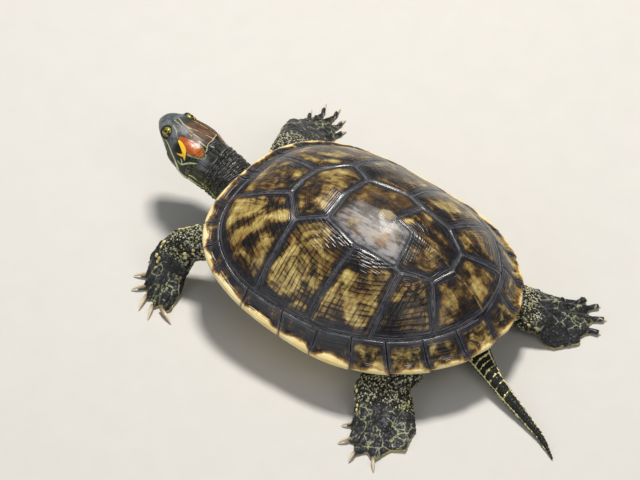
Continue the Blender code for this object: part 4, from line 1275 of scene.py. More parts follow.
@dataclass
class Carapace:
    """The plates of the back and of its border, and the bed they lie on."""

    dome: Dome
    frame: ShellFrame
    palette: Palette
    spokes: int = 150
    rings: int = 46
    plate_depth: float = 0.002
    groove_depth: float = 0.0003
    groove_width: float = 0.0008
    swell: float = 0.0007
    gap: float = 0.00022
    corner_window: float = 0.006  # length over which a plate's corner is rounded
    growth_step: float = 0.0021
    border_column: float = 0.0006  # between points along the border
    rays: float = 4.6
    # Cross-section of the border: share of the way out to the rim, and drop under the dome in metres
    rim_corners: tuple = (
        (0.0, 0.0002), (0.25, 0.0), (0.5, -0.0001), (0.76, -0.0002), (0.93, 0.0003), (1.0, 0.0014),
        (0.97, 0.0028), (0.8, 0.0042), (0.45, 0.0052), (0.0, 0.0044),
    )

    def build(self) -> None:
        """Make every plate."""
        plan = ShellPlan(self.dome)
        for index in range(5):
            self._dorsal(plan.vertebral(index))
        for side, sign in SIDES:
            for index in range(4):
                self._dorsal(plan.pleural(index, side, sign))
        self._marginals(plan)
        self._bed(plan)

    def _dorsal(self, scute: Scute) -> None:
        """A closed plate: rings that grow out from its areola, relief and a groove round it.

        Args:
            scute: the plate.
        """
        outline = smooth_loop(scute.outline, self.spokes, self.corner_window)
        inward = scute.areola - outline
        inward /= np.linalg.norm(inward, axis=1)[:, None]
        wave = Noise(SEED + 3)(flat_points(outline), 0.004) * 0.00012
        outline = outline + inward * (self.gap + wave)[:, None]
        shares = (1.0 - (1.0 - np.linspace(0.0, 1.0, self.rings)) ** 1.35)[1:]
        plan = np.vstack([*(scute.areola + s * (outline - scute.areola) for s in shares), scute.areola])
        edge, _, _ = nearest_on_path(plan, outline, closed=True)
        turn = np.append(np.tile(np.arange(self.spokes) * 2.0 * math.pi / self.spokes, len(shares)), 0.0)
        heart = np.append(np.repeat(shares, self.spokes), 0.0)
        top = self.dome.surface(plan, self._relief(scute, plan, edge, heart))
        inner = scute.areola + 0.5 * (outline - scute.areola)
        below = [self.dome.surface(flat, -self.plate_depth) for flat in (outline, inner, scute.areola[None])]
        points = self.frame.world(np.vstack([top, *below]))
        rows, count = len(shares), self.spokes
        faces = ring_faces(rows, count)
        faces += [(j, (j + 1) % count, rows * count) for j in range(count)]
        rim_at, wall_at = (rows - 1) * count, rows * count + 1
        for j in range(count):
            k = (j + 1) % count
            faces.append((rim_at + j, rim_at + k, wall_at + k, wall_at + j))
            faces.append((wall_at + j, wall_at + k, wall_at + count + k, wall_at + count + j))
            faces.append((wall_at + count + j, wall_at + count + k, wall_at + 2 * count))
        padding = np.zeros(len(points) - len(plan))
        marks = self._marks(scute, plan, edge, turn, heart)
        marks = {key: np.append(values, padding) for key, values in marks.items()}
        piece = closed_piece(scute.name + "_horn", points, faces, marks)
        dress(piece, self.palette.horn[scute.look], "scute", scute.name)

    def _relief(self, scute: Scute, plan: Array, edge: Array, heart: Array) -> Array:
        """Height over the dome: keel, swelling, growth steps, radial folds and the rolled edge.

        Args:
            scute: the plate.
            plan: places seen from above.
            edge: distance to the plate's edge, in metres.
            heart: share of the way from areola to edge.

        Returns:
            The heights, in metres.
        """
        flat = flat_points(plan)
        noise = Noise(SEED + len(scute.name) + ord(scute.name[-1]))
        lift = self.dome.keel(plan[:, 0], plan[:, 1])
        lift += self.swell * smooth_step(0.0, 0.01, edge)
        lift -= self.groove_depth * (1.0 - smooth_step(0.0, self.groove_width, edge)) ** 1.5
        lift += 0.00014 * bump_at(edge, 0.0014, 0.0007)
        phase = edge / self.growth_step + 0.8 * noise(flat, 0.012)
        steps = np.sin(2.0 * math.pi * phase) * smooth_step(0.002, 0.004, edge)
        step_height = 0.00001 if scute.look is ScuteLook.BLEACHED else 0.00005
        lift += step_height * steps * smooth_step(0.25, 0.6, heart)
        return lift + 0.00022 * noise.fractal(flat, 0.014) - 0.0003 * bump_at(heart, 0.0, 0.22)

    def _marks(self, scute: Scute, plan: Array, edge: Array, turn: Array, heart: Array) -> dict:
        """Attributes for the plate's material, distances in millimetres.

        Args:
            scute: the plate.
            plan: places seen from above.
            edge: distance to the plate's edge, in metres.
            turn: angle of each round the areola.
            heart: share of the way from areola to edge.

        Returns:
            Values by name.
        """
        radius = np.linalg.norm(plan / np.array([self.dome.half_width, 0.5]) / self.dome.length, axis=1)
        middle = scute.name.startswith("vertebral")
        outer = plan[:, 0] / MM if middle else (1.0 - radius) * 62.0
        marks = {"edge": edge / MM, "outer": outer, "across": plan[:, 1] / MM, "heart": heart}
        marks["spoke_x"] = np.cos(turn) * self.rays + 7.0 * scute.number
        marks["spoke_y"] = np.sin(turn) * self.rays
        ridge = np.exp(-((plan[:, 0] / 0.00032) ** 2)) * smooth_step(0.034, 0.048, plan[:, 1])
        marks["keel"] = ridge if middle else np.zeros(len(plan))
        # Where the pale patch and fleck lie: partly worn horn and partly painted glare
        if scute.look is ScuteLook.BLEACHED:
            wander = 0.005 * Noise(SEED + 2).fractal(flat_points(plan), 0.009)
            side = smooth_step(-0.004, 0.008, plan[:, 0] + wander)
            marks["worn"] = side * smooth_step(-0.018, 0.004, plan[:, 1] + wander)
            spot = np.hypot((plan[:, 0] + 0.001) / 0.0036, (plan[:, 1] - 0.012) / 0.0058) + wander / 0.009
            marks["fleck"] = 1.0 - smooth_step(0.4, 1.3, spot)
        return marks

    def _marginals(self, plan: ShellPlan) -> None:
        """The border's plates, lofted along the rim from seam to seam.

        Args:
            plan: the seams.
        """
        nuchal = plan.nuchal_half_angle
        self._marginal(plan, "nuchal_scute", (-nuchal, -nuchal), (nuchal, nuchal), 1.0)
        start = (nuchal, nuchal)
        for index, end in enumerate(plan.marginal_seams):
            for side, sign in SIDES:
                self._marginal(plan, f"marginal_scute_{side}_{index + 1}", start, end, sign)
            start = end

    def _rim_profile(self) -> tuple[Array, Array]:
        """Cross-section of the border, over the top, round the rim and back below.

        Returns:
            Its rows of share and drop, and how far round each is, 1 at the rim.
        """
        profile = smooth_path(np.array(self.rim_corners), 5)
        turns = np.linalg.norm(np.diff(profile, axis=0) * np.array([1.0, 60.0]), axis=1)
        out = np.concatenate([[0.0], np.cumsum(turns)])
        return profile, out / out[np.argmax(profile[:, 0])]

    def _marginal(self, plan: ShellPlan, name: str, start: tuple, end: tuple, sign: float) -> None:
        """One plate of the border: over the top, round the rim and back below.

        Args:
            plan: the seams.
            name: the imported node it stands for.
            start: angles of its first seam, on the rim and on the inner ring.
            end: angles of its last seam.
            sign: 1 on the left, -1 on the right.
        """
        span = float(np.linalg.norm(self.dome.ring(end[0], 1.0) - self.dome.ring(start[0], 1.0)))
        columns = max(6, round(span / self.border_column))
        margin = self.gap / span
        profile, out = self._rim_profile()
        ts = np.linspace(margin, 1.0 - margin, columns)
        noise = Noise(SEED + 11)
        rear = float(smooth_step(95.0, 112.0, abs(start[0])))
        bridge = float(smooth_step(48.0, 60.0, abs(start[0]))) * (1.0 - rear)
        rim_angle, inner_angle = mix(start[0], end[0], ts), mix(start[1], end[1], ts)
        inner = self.dome.ring(inner_angle, plan.inner_ring(inner_angle) + 0.0008)
        scallop = 0.0028 * np.sin(math.pi * ts) ** 0.8 * smooth_step(60.0, 100.0, np.abs(rim_angle))
        outer = self.dome.ring(rim_angle, plan.rim_reach(np.abs(rim_angle), ts) + scallop)
        side_edge = np.minimum(ts, 1.0 - ts) * span
        points = []
        marks = {"edge": [], "out": [], "spot": [], "moon": [], "window": []}
        for (share, drop), level in zip(profile, out):
            flat = inner + (outer - inner) * share
            inner_edge = np.linalg.norm(flat - inner, axis=1) if level <= 1.0 else np.full(columns, 0.02)
            edge = np.minimum(side_edge, inner_edge)
            height = self.dome.height(flat[:, 0], flat[:, 1]) - drop
            top_side = smooth_step(1.15, 0.95, level) if level > 0.95 else 1.0
            height -= top_side * 0.0003 * (1.0 - smooth_step(0.0, self.groove_width, edge)) ** 1.5
            height += top_side * 0.0005 * smooth_step(0.0, 0.004, edge) * (1.0 - share)
            height += 0.0001 * noise(np.column_stack([flat, height]), 0.006)
            points.append(np.column_stack([sign * flat[:, 0], flat[:, 1], height]))
            marks["edge"].append(edge / MM)
            marks["out"].append(np.full(columns, level))
            marks["spot"].append(bump_at(ts, 1.0, 0.42) * bump_at(level, 1.6, 0.5))
            marks["moon"].append(mix(0.75, 1.0, bridge) * bump_at(ts, 0.55, 0.5) - 0.6 * rear)
            marks["window"].append(np.full(columns, mix(0.35, 1.0, rear) * (1.0 - 0.8 * bridge)))
        starts = [i * columns for i in range(len(profile))]
        faces = [(i + j, i + j + 1, k + j + 1, k + j) for j in range(columns - 1)
                 for i, k in zip(starts, starts[1:] + starts[:1])]
        faces += [tuple(starts), tuple(i + columns - 1 for i in reversed(starts))]
        marks = {key: np.concatenate(values) for key, values in marks.items()}
        piece = closed_piece(name + "_horn", self.frame.world(np.vstack(points)), faces, marks)
        dress(piece, self.palette.marginal, "scute", name)

    def _bed(self, plan: ShellPlan) -> None:
        """A thin closed sheet just under the plates, which closes the grooves from inside.

        Args:
            plan: the seams.
        """
        angles = np.linspace(-180.0, 180.0, 120, endpoint=False)
        limit = plan.inner_ring(angles) + 0.012
        flats = [self.dome.ring(angles, r * limit) for r in np.linspace(0.02, 1.0, 22)]
        rows = [self.dome.surface(flat, -self.groove_depth - 0.0003) for flat in flats]
        rows += [self.dome.surface(flat, -self.plate_depth - 0.0004) for flat in reversed(flats)]
        faces = capped_faces(len(rows), len(angles))
        piece = closed_piece("carapace_bed", self.frame.world(np.vstack(rows)), faces)
        dress(piece, self.palette.bone, "scute")


@dataclass
class Plastron:
    """The shell's underside with its bridges: one piece with seams, growth lines and smudges."""

    dome: Dome
    frame: ShellFrame
    palette: Palette
    base: float = -0.012
    thickness: float = 0.003
    front: float = -0.08
    rear: float = 0.0725
    bridge_front: float = -0.047
    bridge_rear: float = 0.028
    bridge_ring: float = 0.905  # share of the way to the rim where the bridges end
    cross_seams: tuple = (-0.062, -0.04, -0.012, 0.024, 0.047)
    groove_depth: float = 0.00045
    half_widths: tuple = (0.042, 0.041, 0.04)  # in front, at the bridges and behind
    end_length: float = 0.004  # of the rounded ends, where the stations stand closer

    def build(self) -> None:
        """Loft the underside from front to rear."""
        first, last = self.front + self.end_length, self.rear - self.end_length
        stations = np.concatenate([
            np.linspace(self.front, first, 6, endpoint=False),
            np.linspace(first, last, 150, endpoint=False),
            np.linspace(last, self.rear, 6),
        ])
        sections = [self._section(y) for y in stations]
        points = np.vstack(sections)
        faces = capped_faces(len(sections), len(sections[0]))
        edge = self._seam_distance(points)
        groove = self.groove_depth * (1.0 - smooth_step(0.0, 0.001, edge))
        points[:, 2] += np.where(points[:, 2] < self.base + 0.0016, groove, 0.0)
        marks = {"edge": edge / MM, "spot": self._spots(points)}
        piece = closed_piece("plastron_horn", self.frame.world(points), faces, marks)
        dress(piece, self.palette.plastron, "plastron", "plastron")

    def _half_width(self, y: float) -> float:
        """Half the width of the flat underside.

        Args:
            y: metres behind the middle.

        Returns:
            The half width, in metres.
        """
        front, middle, behind = self.half_widths
        if y < self.bridge_front:
            t = (y - self.front) / (self.bridge_front - self.front)
            return front * (0.45 + 0.55 * (1.0 - (1.0 - t) ** 2.4))
        if y > self.bridge_rear:
            t = (self.rear - y) / (self.rear - self.bridge_rear)
            return behind * (0.4 + 0.6 * (1.0 - (1.0 - t) ** 2.6))
        return middle

    def _bridge_end(self, y: float) -> tuple[float, float]:
        """Where the bridge meets the border.

        Args:
            y: metres behind the middle.

        Returns:
            Place to the left and height, in metres.
        """
        dome, r = self.dome, self.bridge_ring
        power, reach = (float(value) for value in dome.half(y > dome.widest_at * dome.length))
        along = abs(y / dome.length - dome.widest_at) / (reach * r)
        x = r * dome.half_width * dome.length * max(0.0, 1.0 - along**power) ** (1.0 / power)
        return x, float(dome.height(x, y)) - 0.0062

    def _section(self, y: float) -> Array:
        """Closed cross-section, from the midline out over the bridge and back inside.

        Args:
            y: metres behind the middle.

        Returns:
            Its points, one in each row.
        """
        half = self._half_width(y)
        rise = float(smooth_step(self.bridge_front - 0.009, self.bridge_front + 0.004, y))
        rise *= 1.0 - float(smooth_step(self.bridge_rear - 0.004, self.bridge_rear + 0.009, y))
        end_x, end_z = self._bridge_end(y)
        tip_x = mix(half + 0.0012, end_x, rise)
        tip_z = mix(self.base + 0.0019, end_z, rise)
        knee_x = mix(half, half + 0.35 * (tip_x - half), rise)
        knee_z = mix(self.base + 0.0006, self.base + 0.22 * (tip_z - self.base), rise)
        inner = mix(0.0, 0.0026, rise)
        top = self.base + self.thickness
        outer = [(0.0, self.base), (0.55 * half, self.base), (knee_x, knee_z), (tip_x, tip_z)]
        back = [(tip_x - 0.0012 - inner, tip_z + mix(0.0011, 0.0, rise)), (knee_x - inner, knee_z + 0.0024),
                (0.55 * half, top), (0.0, top)]
        right = np.vstack([smooth_path(np.array(outer), 14), smooth_path(np.array(back), 6)])
        ring = np.vstack([right, right[1:-1][::-1] * np.array([-1.0, 1.0])])
        notch = 0.007 * float(smooth_step(self.rear - 0.014, self.rear, y))
        shift = y - notch * np.maximum(0.0, 1.0 - np.abs(ring[:, 0]) / half)
        return np.column_stack([ring[:, 0], shift, ring[:, 1]])

    def _seam_distance(self, points: Array) -> Array:
        """Distance to the nearest seam: midline, cross seams and the bridges' seams.

        Args:
            points: one point in each row.

        Returns:
            The distances, in metres.
        """
        gap = np.abs(points[:, 0])
        for y in self.cross_seams:
            bow = 0.004 * (np.abs(points[:, 0]) / 0.04) ** 1.5
            gap = np.minimum(gap, np.abs(points[:, 1] - y - bow))
        on_bridge = (points[:, 1] > self.bridge_front) & (points[:, 1] < self.bridge_rear)
        bridge_gap = np.where(on_bridge, np.abs(np.abs(points[:, 0]) - 0.046), 1.0)
        return np.minimum(gap, bridge_gap)

    def _spots(self, points: Array) -> Array:
        """One dark smudge on each plate.

        Args:
            points: one point in each row.

        Returns:
            The smudges' weight at each point.
        """
        limits = (self.front, *self.cross_seams, self.rear)
        spot = np.zeros(len(points))
        for low, high in zip(limits, limits[1:]):
            along = (points[:, 1] - (low + high) / 2.0) / (0.3 * (high - low))
            gap = np.hypot(along, (np.abs(points[:, 0]) - 0.02) / 0.008)
            spot = np.maximum(spot, 1.0 - smooth_step(0.2, 1.5, gap))
        return spot


# ---- body


class Region(Enum):
    """Stretches of the body that the skin's markings follow."""

    TRUNK = 0
    NECK = 1
    HEAD = 2
    TAIL = 3
    FRONT_LEFT = 4
    FRONT_RIGHT = 5
    HIND_LEFT = 6
    HIND_RIGHT = 7


@dataclass(frozen=True)
class BodyLine:
    """The middle line of one stretch, with its radius at each corner, all in millimetres."""

    region: Region
    corners: tuple
    wrist: float = 0.0
    edges: tuple = ()  # where the rows of yellow scales run, in degrees round the line

    def path(self, frame: ShellFrame) -> tuple[Array, Array]:
        """The line as a smooth curve.

        Args:
            frame: the shell's place.

        Returns:
            Places along the line in the model's frame, and the radius at each.
        """
        fine = smooth_path(np.array(self.corners, float), 4)
        places = np.array([frame.plan_mm(*row[:3]) for row in fine])
        return places, fine[:, 3] * MM


BODY_LINES = (
    BodyLine(Region.TRUNK, ((0, -66, 30, 26), (0, -30, 32, 34), (0, 30, 32, 34), (0, 64, 26, 24))),
    BodyLine(Region.NECK, ((-0.5, -76, 30.5, 15), (-0.8, -85, 31.6, 15), (-1.0, -96.5, 33.6, 14),
                           (-2.4, -106.5, 37.4, 14), (-1.9, -115.2, 40.0, 15))),
    BodyLine(Region.TAIL, ((0, 74, 16, 10), (3.4, 81.4, 13.8, 8), (8.2, 91.2, 11, 6.5), (12.8, 102.8, 8.4, 5),
                           (18, 117.2, 5.9, 4), (23.2, 132.8, 3.7, 3.2), (28.2, 146.5, 2.2, 2.4),
                           (37.3, 162, 0.8, 1))),
    BodyLine(Region.FRONT_LEFT, ((32, -68, 28, 12), (38, -75, 29, 11.5), (43, -88, 28.3, 10),
                                 (48, -97, 24.5, 9.5), (53, -100.8, 18.5, 9.5), (59, -102.4, 11.6, 9),
                                 (68, -102.5, 5, 10), (82, -100, 2, 12)), 46.0, (52, 172)),
    BodyLine(Region.FRONT_RIGHT, ((-32, -68, 28, 12), (-34, -76, 28.8, 11.5), (-38.5, -88.5, 28, 11),
                                  (-49, -97.5, 25.2, 10), (-61.5, -102.8, 20.2, 9.5),
                                  (-73.5, -108, 14.8, 9), (-84.5, -111.8, 9.8, 9), (-97, -113, 4.5, 10),
                                  (-110, -114, 2, 12)), 53.0, (20, 165)),
    BodyLine(Region.HIND_LEFT, ((34, 57, 20, 12), (44.5, 60.5, 18, 11), (53, 57, 15.4, 11),
                                (61, 57.6, 12.8, 11), (66, 63, 9.4, 11), (80, 69, 5, 13),
                                (98, 74, 2, 15)), 44.0, (12, 168)),
    BodyLine(Region.HIND_RIGHT, ((-32, 60, 20, 12), (-37.5, 69, 17, 11), (-40, 79.5, 13.8, 11),
                                 (-46, 90.8, 9.6, 11), (-56, 103, 5, 13),
                                 (-68, 113, 2, 15)), 36.0, (14, 168)),
)


def eye_centre(side: str) -> Vector:
    """Middle of a packed eye, left or right."""
    return sum(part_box(f"eye_{side}"), Vector()) / 2.0


@dataclass(frozen=True)
class HeadFrame:
    """The head's own frame: origin between the eyes, x to its left, y to its rear, z up."""

    origin: Array
    axes: Array

    @classmethod
    def from_nodes(cls) -> "HeadFrame":
        """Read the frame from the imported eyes.

        Returns:
            The frame.
        """
        left, right = eye_centre("left"), eye_centre("right")
        yaw = math.atan2(left.y - right.y, left.x - right.x)
        turn = Matrix.Rotation(yaw, 3, "Z") @ Matrix.Rotation(HEAD_PITCH, 3, "X")
        return cls(np.array((left + right) / 2.0), np.array(turn))

    def local(self, points: Array) -> Array:
        """Model points in the head's frame, in millimetres."""
        return (points - self.origin) @ self.axes / MM


@dataclass
class BodyMap:
    """Where each point of the skin is along and around the stretch it belongs to."""

    frame: ShellFrame
    head: HeadFrame
    points: Array

    def __post_init__(self) -> None:
        """Give every point to the stretch it lies deepest in."""
        count = len(self.points)
        self.region = np.zeros(count, int)
        self.along, self.angle = np.zeros((2, count))
        self.lie = np.zeros((count, 3))
        self.depth = np.full(count, np.inf)
        for line in BODY_LINES:
            self._claim(line)
        self.in_head = self.head.local(self.points)
        head_gap = self._head_gap()
        on_head = head_gap < self.depth
        self.region[on_head] = Region.HEAD.value
        self.depth = np.minimum(self.depth, head_gap)
        over_axis = self.in_head[:, 2] + HEAD_AXIS_DROP
        self.head_angle = np.degrees(np.arctan2(over_axis, np.abs(self.in_head[:, 0])))

    def _claim(self, line: BodyLine) -> None:
        """Take the points that lie deeper in this stretch than in the ones before.

        Args:
            line: the stretch's middle line.
        """
        path, radii = line.path(self.frame)
        gap, index, share = nearest_on_path(self.points, path)
        radius = mix(radii[index], radii[index + 1], share)
        run, directions = path_frame(path)
        along = mix(run[index], run[index + 1], share)
        ahead = directions[index]
        side = np.cross(ahead, np.array([0.0, 0.0, 1.0]))
        side /= np.linalg.norm(side, axis=1)[:, None]
        up = np.cross(side, ahead)
        off = self.points - mix(path[index], path[index + 1], share[:, None])
        angle = np.arctan2(np.einsum("ij,ij->i", off, up), np.einsum("ij,ij->i", off, side))
        depth = gap - radius
        closer = depth < self.depth
        self.depth[closer] = depth[closer]
        self.region[closer] = line.region.value
        self.along[closer] = along[closer] / MM
        self.angle[closer] = angle[closer]
        self.lie[closer] = ahead[closer]

    def _head_gap(self) -> Array:
        """Distance of each point out of the head's rough form, a tapered capsule.

        Returns:
            The distances, in metres.
        """
        x, y, z = self.in_head.T
        reach = np.clip(y, -14.0, 19.0)
        radius = mix(7.0, 15.0, smooth_step(-14.0, 12.0, reach))
        gap = np.sqrt(x**2 + (y - reach) ** 2 + (z + 4.5) ** 2)
        return (gap - radius) * MM

    def unwrap(self) -> tuple[Array, Array]:
        """Each point's place on a flat map: one tile for each stretch, around it and along it.

        Returns:
            The two coordinates, 0 to 1.
        """
        column, row = self.region % 4, self.region // 4
        u = (column + 0.03 + 0.94 * (self.angle / (2.0 * math.pi) + 0.5)) / 4.0
        v = (row + 0.03 + 0.94 * np.clip(self.along / 110.0, 0.0, 1.0)) / 2.0
        return u, v

    def on(self, region: Region) -> Array:
        """True for the points of one stretch."""
        return self.region == region.value


class Markings:
    """Stripes, patches and tones of the skin, as attributes for its material."""

    ARC = 0.227  # millimetres on the side of the head for each degree round its axis
    # On the head's sides: millimetres behind the eyes, degrees up from the side, half width in millimetres
    SIDE_STRIPES = (
        ((2.2, 8.0, 0.45), (7.4, 7.0, 0.6), (13.0, -2.0, 0.75), (17.0, -14.0, 0.95), (19.0, -26.0, 1.15),
         (23.6, -33.0, 1.3), (31.0, -38.0, 1.1)),
        ((-6.0, -10.0, 0.4), (-1.0, -13.0, 0.6), (5.0, -24.0, 0.75), (10.0, -38.0, 0.6)),
        ((17.3, 0.0, 0.3), (20.8, 0.0, 0.45), (24.5, 13.0, 0.45), (29.1, 25.0, 0.3)),
        ((21.4, 1.0, 0.45), (20.2, 9.0, 0.4), (18.9, 14.0, 0.15)),
        ((10.0, -58.0, 0.5), (18.0, -56.0, 0.7), (30.0, -60.0, 0.6)),
    )
    HOOK = (
        ((11.4, 40.0, 0.6), (14.0, 38.5, 1.0), (17.6, 34.0, 1.25), (20.0, 26.0, 1.0), (22.0, 15.0, 0.2)),
        ((20.2, 24.0, 0.8), (17.8, 19.0, 0.55), (15.0, 16.0, 0.15)),
    )
    # On the head's top: millimetres to the left, millimetres behind the eyes, half the width
    TOP_THREADS = (
        ((-1.1, -2.4, 0.24), (0.4, 6.3, 0.28), (-3.8, 16.0, 0.24), (-5.8, 23.4, 0.26)),
        ((1.7, -3.0, 0.22), (3.1, 10.7, 0.24), (2.2, 18.1, 0.24), (1.6, 26.5, 0.26)),
        ((0.2, 7.2, 0.18), (1.0, 14.0, 0.2), (-0.6, 21.7, 0.18)),
        ((-6.2, 4.0, 0.16), (-8.0, 10.0, 0.2), (-9.2, 17.0, 0.18), (-9.8, 22.0, 0.2)),
        ((-10.6, 21.4, 0.26), (-4.5, 24.3, 0.28), (-0.1, 25.3, 0.3), (3.3, 27.9, 0.32), (9.0, 29.4, 0.3)),
        ((5.1, -0.2, 0.2), (6.5, 4.4, 0.26), (9.0, 8.4, 0.22), (9.8, 10.4, 0.16)),
    )
    NECK_STRIPE_ANGLES = (-60.0, -40.0, -22.0, -7.0)
    EAR_ANGLE = 50.0  # height of the red patch
    RIGHT_DROP = 38.0  # the patch and the hook lie this much lower on the right
    NECK_REACH = 72.0  # from the neck's root to the eyes, in millimetres
    TAIL_BARS = (10.0, 14.0, 18.0, 22.0, 26.5, 31.5, 37.5, 45.0)

    def __init__(self, body: BodyMap, normals: Array) -> None:
        """Find the head angles and the skin by the claws.

        Args:
            body: where the points are.
            normals: their normals, one in each row.
        """
        self.body = body
        self.up = normals[:, 2]
        self.head_angle = body.head_angle + self.RIGHT_DROP * (body.in_head[:, 0] < 0.0)
        self.claws = self._near_claws()

    def _near_claws(self) -> Array:
        """Weight of the skin close to the claws.

        Returns:
            The weights.
        """
        near = np.zeros(len(self.up))
        for plan in CLAW_PLANS:
            for line, _ in plan.curves(self.body.frame):
                gap, _, _ = nearest_on_path(self.body.points, line)
                near = np.maximum(near, smooth_step(2.6 * MM, 1.6 * MM, gap))
        return near

    def attributes(self) -> dict:
        """All attributes of the skin's points.

        Returns:
            Values by name.
        """
        body = self.body
        around = np.degrees(body.angle)
        side = around_fold(around)
        on_head = body.on(Region.HEAD)
        y = body.in_head[:, 1]
        neck = body.on(Region.NECK) | (on_head & (y > 24.5))
        out = {"along": np.where(on_head, self.NECK_REACH - y, body.along), "turn": body.angle * 9.0}
        out["on_head"] = on_head.astype(float)
        out["on_neck"] = neck.astype(float)
        out["on_tail"] = body.on(Region.TAIL).astype(float)
        out["on_limb"], out["on_hand"] = self._limbs()
        out["fringe"], out["edge"] = self._fringe(around)
        out["web"] = self._web_lines()
        low_side = smooth_step(30.0, -8.0, np.where(on_head, body.head_angle, side))
        out["throat"] = np.where(neck, low_side, 0.0)
        near = on_head | neck
        out.update(self._head_top(on_head, near))
        angles = (body.head_angle, self.head_angle)
        flank, hooked = (np.column_stack([y, angle * self.ARC]) for angle in angles)
        out["gold"] = np.where(near, self._stroke(hooked, self.HOOK, self.ARC), FAR)
        out["red"] = self._ear(near)
        rim = np.where(near & (y > 21.0), np.abs(out["red"] - 0.35) - 0.2, FAR)
        stripes = np.where(near, self._stroke(flank, self.SIDE_STRIPES, self.ARC), FAR)
        out["pale"] = np.minimum(np.minimum(rim, stripes), self._body_stripes(side))
        out["belly"] = np.where(body.region >= Region.TAIL.value, smooth_step(-0.3, -0.7, self.up), 0.0)
        out["unwrap_u"], out["unwrap_v"] = body.unwrap()
        out["lie_x"], out["lie_y"], out["lie_z"] = body.lie.T
        out.update(self._coat_weights(out))
        return out

    def _head_top(self, on_head: Array, near: Array) -> dict:
        """Brown crown; grey snout, brow and patch behind the ear, partly their own grey and partly painted
        sheen; and the fine threads.

        Args:
            on_head: true on the head.
            near: true on the head and the neck.

        Returns:
            Weights of the first two, and signed distance to the threads.
        """
        x, y, z = self.body.in_head.T
        crown = smooth_step(3.0, 6.0, y) * (1.0 - smooth_step(24.0, 24.8, y - 0.25 * x))
        crown = on_head * (y < 27.0) * crown * smooth_step(3.6, 2.8, x) * smooth_step(0.0, 2.0, z)
        lid = np.hypot(np.hypot(np.abs(x) - EYE_GAP, y), z)
        brow = smooth_step(13.0, 9.0, y) * smooth_step(0.0, 3.0, x + 1.5)
        front = np.maximum(smooth_step(5.0, -3.0, y), brow)
        rise = smooth_step(-7.0, -2.0, y)
        high = smooth_step(mix(-7.0, -1.5, rise), mix(-3.0, 1.5, rise), z)
        behind = smooth_step(1.3, 0.6, np.hypot((y - 31.0) / 3.0, (self.head_angle - 42.0) / 17.0)) * near
        # Lighter grey on the head's top and behind the ear patch: partly the skin's own grey and partly
        # painted sheen
        snout = np.maximum(on_head * front * high * smooth_step(4.6, 5.4, lid), behind)
        threads = self._stroke(self.body.in_head[:, :2], self.TOP_THREADS, 1.0)
        return {"crown": crown, "snout": snout, "thread": np.where(on_head & (z > 0.0), threads, FAR)}

    @staticmethod
    def _stroke(points: Array, strokes: tuple, arc: float) -> Array:
        """Signed distance in millimetres to the nearest stroke.

        Args:
            points: places on a flat map of the head, in millimetres.
            strokes: rows of two coordinates and half the width.
            arc: millimetres for one unit of the second coordinate.

        Returns:
            The distances.
        """
        best = np.full(len(points), FAR)
        for stroke in strokes:
            line = smooth_path(np.array(stroke, float) * np.array([1.0, arc, 1.0]), 5)
            gap, index, share = nearest_on_path(points, line[:, :2])
            width = mix(line[index, 2], line[index + 1, 2], share)
            best = np.minimum(best, gap - width)
        return best

    def _ear(self, near: Array) -> Array:
        """Signed distance to the red patch behind the eye, on both sides.

        Args:
            near: true on the head and the neck.

        Returns:
            The distances.
        """
        _, y, z = self.body.in_head.T
        height = self.EAR_ANGLE + mix(-2.0, 2.0, smooth_step(10.0, 28.0, y))
        half = mix(2.7, 4.3, smooth_step(10.0, 24.0, y))
        gap = np.hypot((y - 19.4) / 9.8, (self.head_angle - height) * self.ARC / half)
        return np.where(near & (z > -4.0), (gap - 1.0) * 3.2, FAR)

    def _body_stripes(self, side: Array) -> Array:
        """Signed distance to the stripes of the neck and the tail.

        Args:
            side: height angle round the stretch, in degrees.

        Returns:
            The distances.
        """
        body = self.body
        neck, tail = body.on(Region.NECK), body.on(Region.TAIL)
        pale = np.full(len(side), FAR)
        wander = 3.0 * Noise(SEED + 5)(body.points, 0.012)
        for angle in self.NECK_STRIPE_ANGLES:
            pale = np.where(neck, np.minimum(pale, np.abs(side - angle + wander) * 0.25 - 0.4), pale)
        around = np.degrees(body.angle)
        for angle, narrow in ((4.0, 0.52), (136.0, 0.57), (-30.0, 0.22)):
            pale = np.where(tail, np.minimum(pale, np.abs(around - angle) * 0.07 - narrow), pale)
        across = tail & (around > 4.0) & (around < 136.0)
        for index, place in enumerate(self.TAIL_BARS):
            gap = np.abs(body.along - place - 1.5 * np.cos(np.radians(around))) - 0.5 + 0.03 * index
            pale = np.where(across, np.minimum(pale, gap), pale)
        return pale

    def _limbs(self) -> tuple[Array, Array]:
        """Weights of the granular upper limb and of the hand or foot.

        Returns:
            The two weights.
        """
        body = self.body
        limb = body.on(Region.TRUNK).astype(float)
        hand = np.zeros(len(limb))
        wander = 2.5 * Noise(SEED + 9)(body.points, 0.005)
        for line in BODY_LINES:
            if line.wrist:
                low = smooth_step(line.wrist - 3.0, line.wrist + 1.0, body.along + wander)
                limb = np.where(body.on(line.region), 1.0 - low, limb)
                hand = np.where(body.on(line.region), low, hand)
        return limb, hand

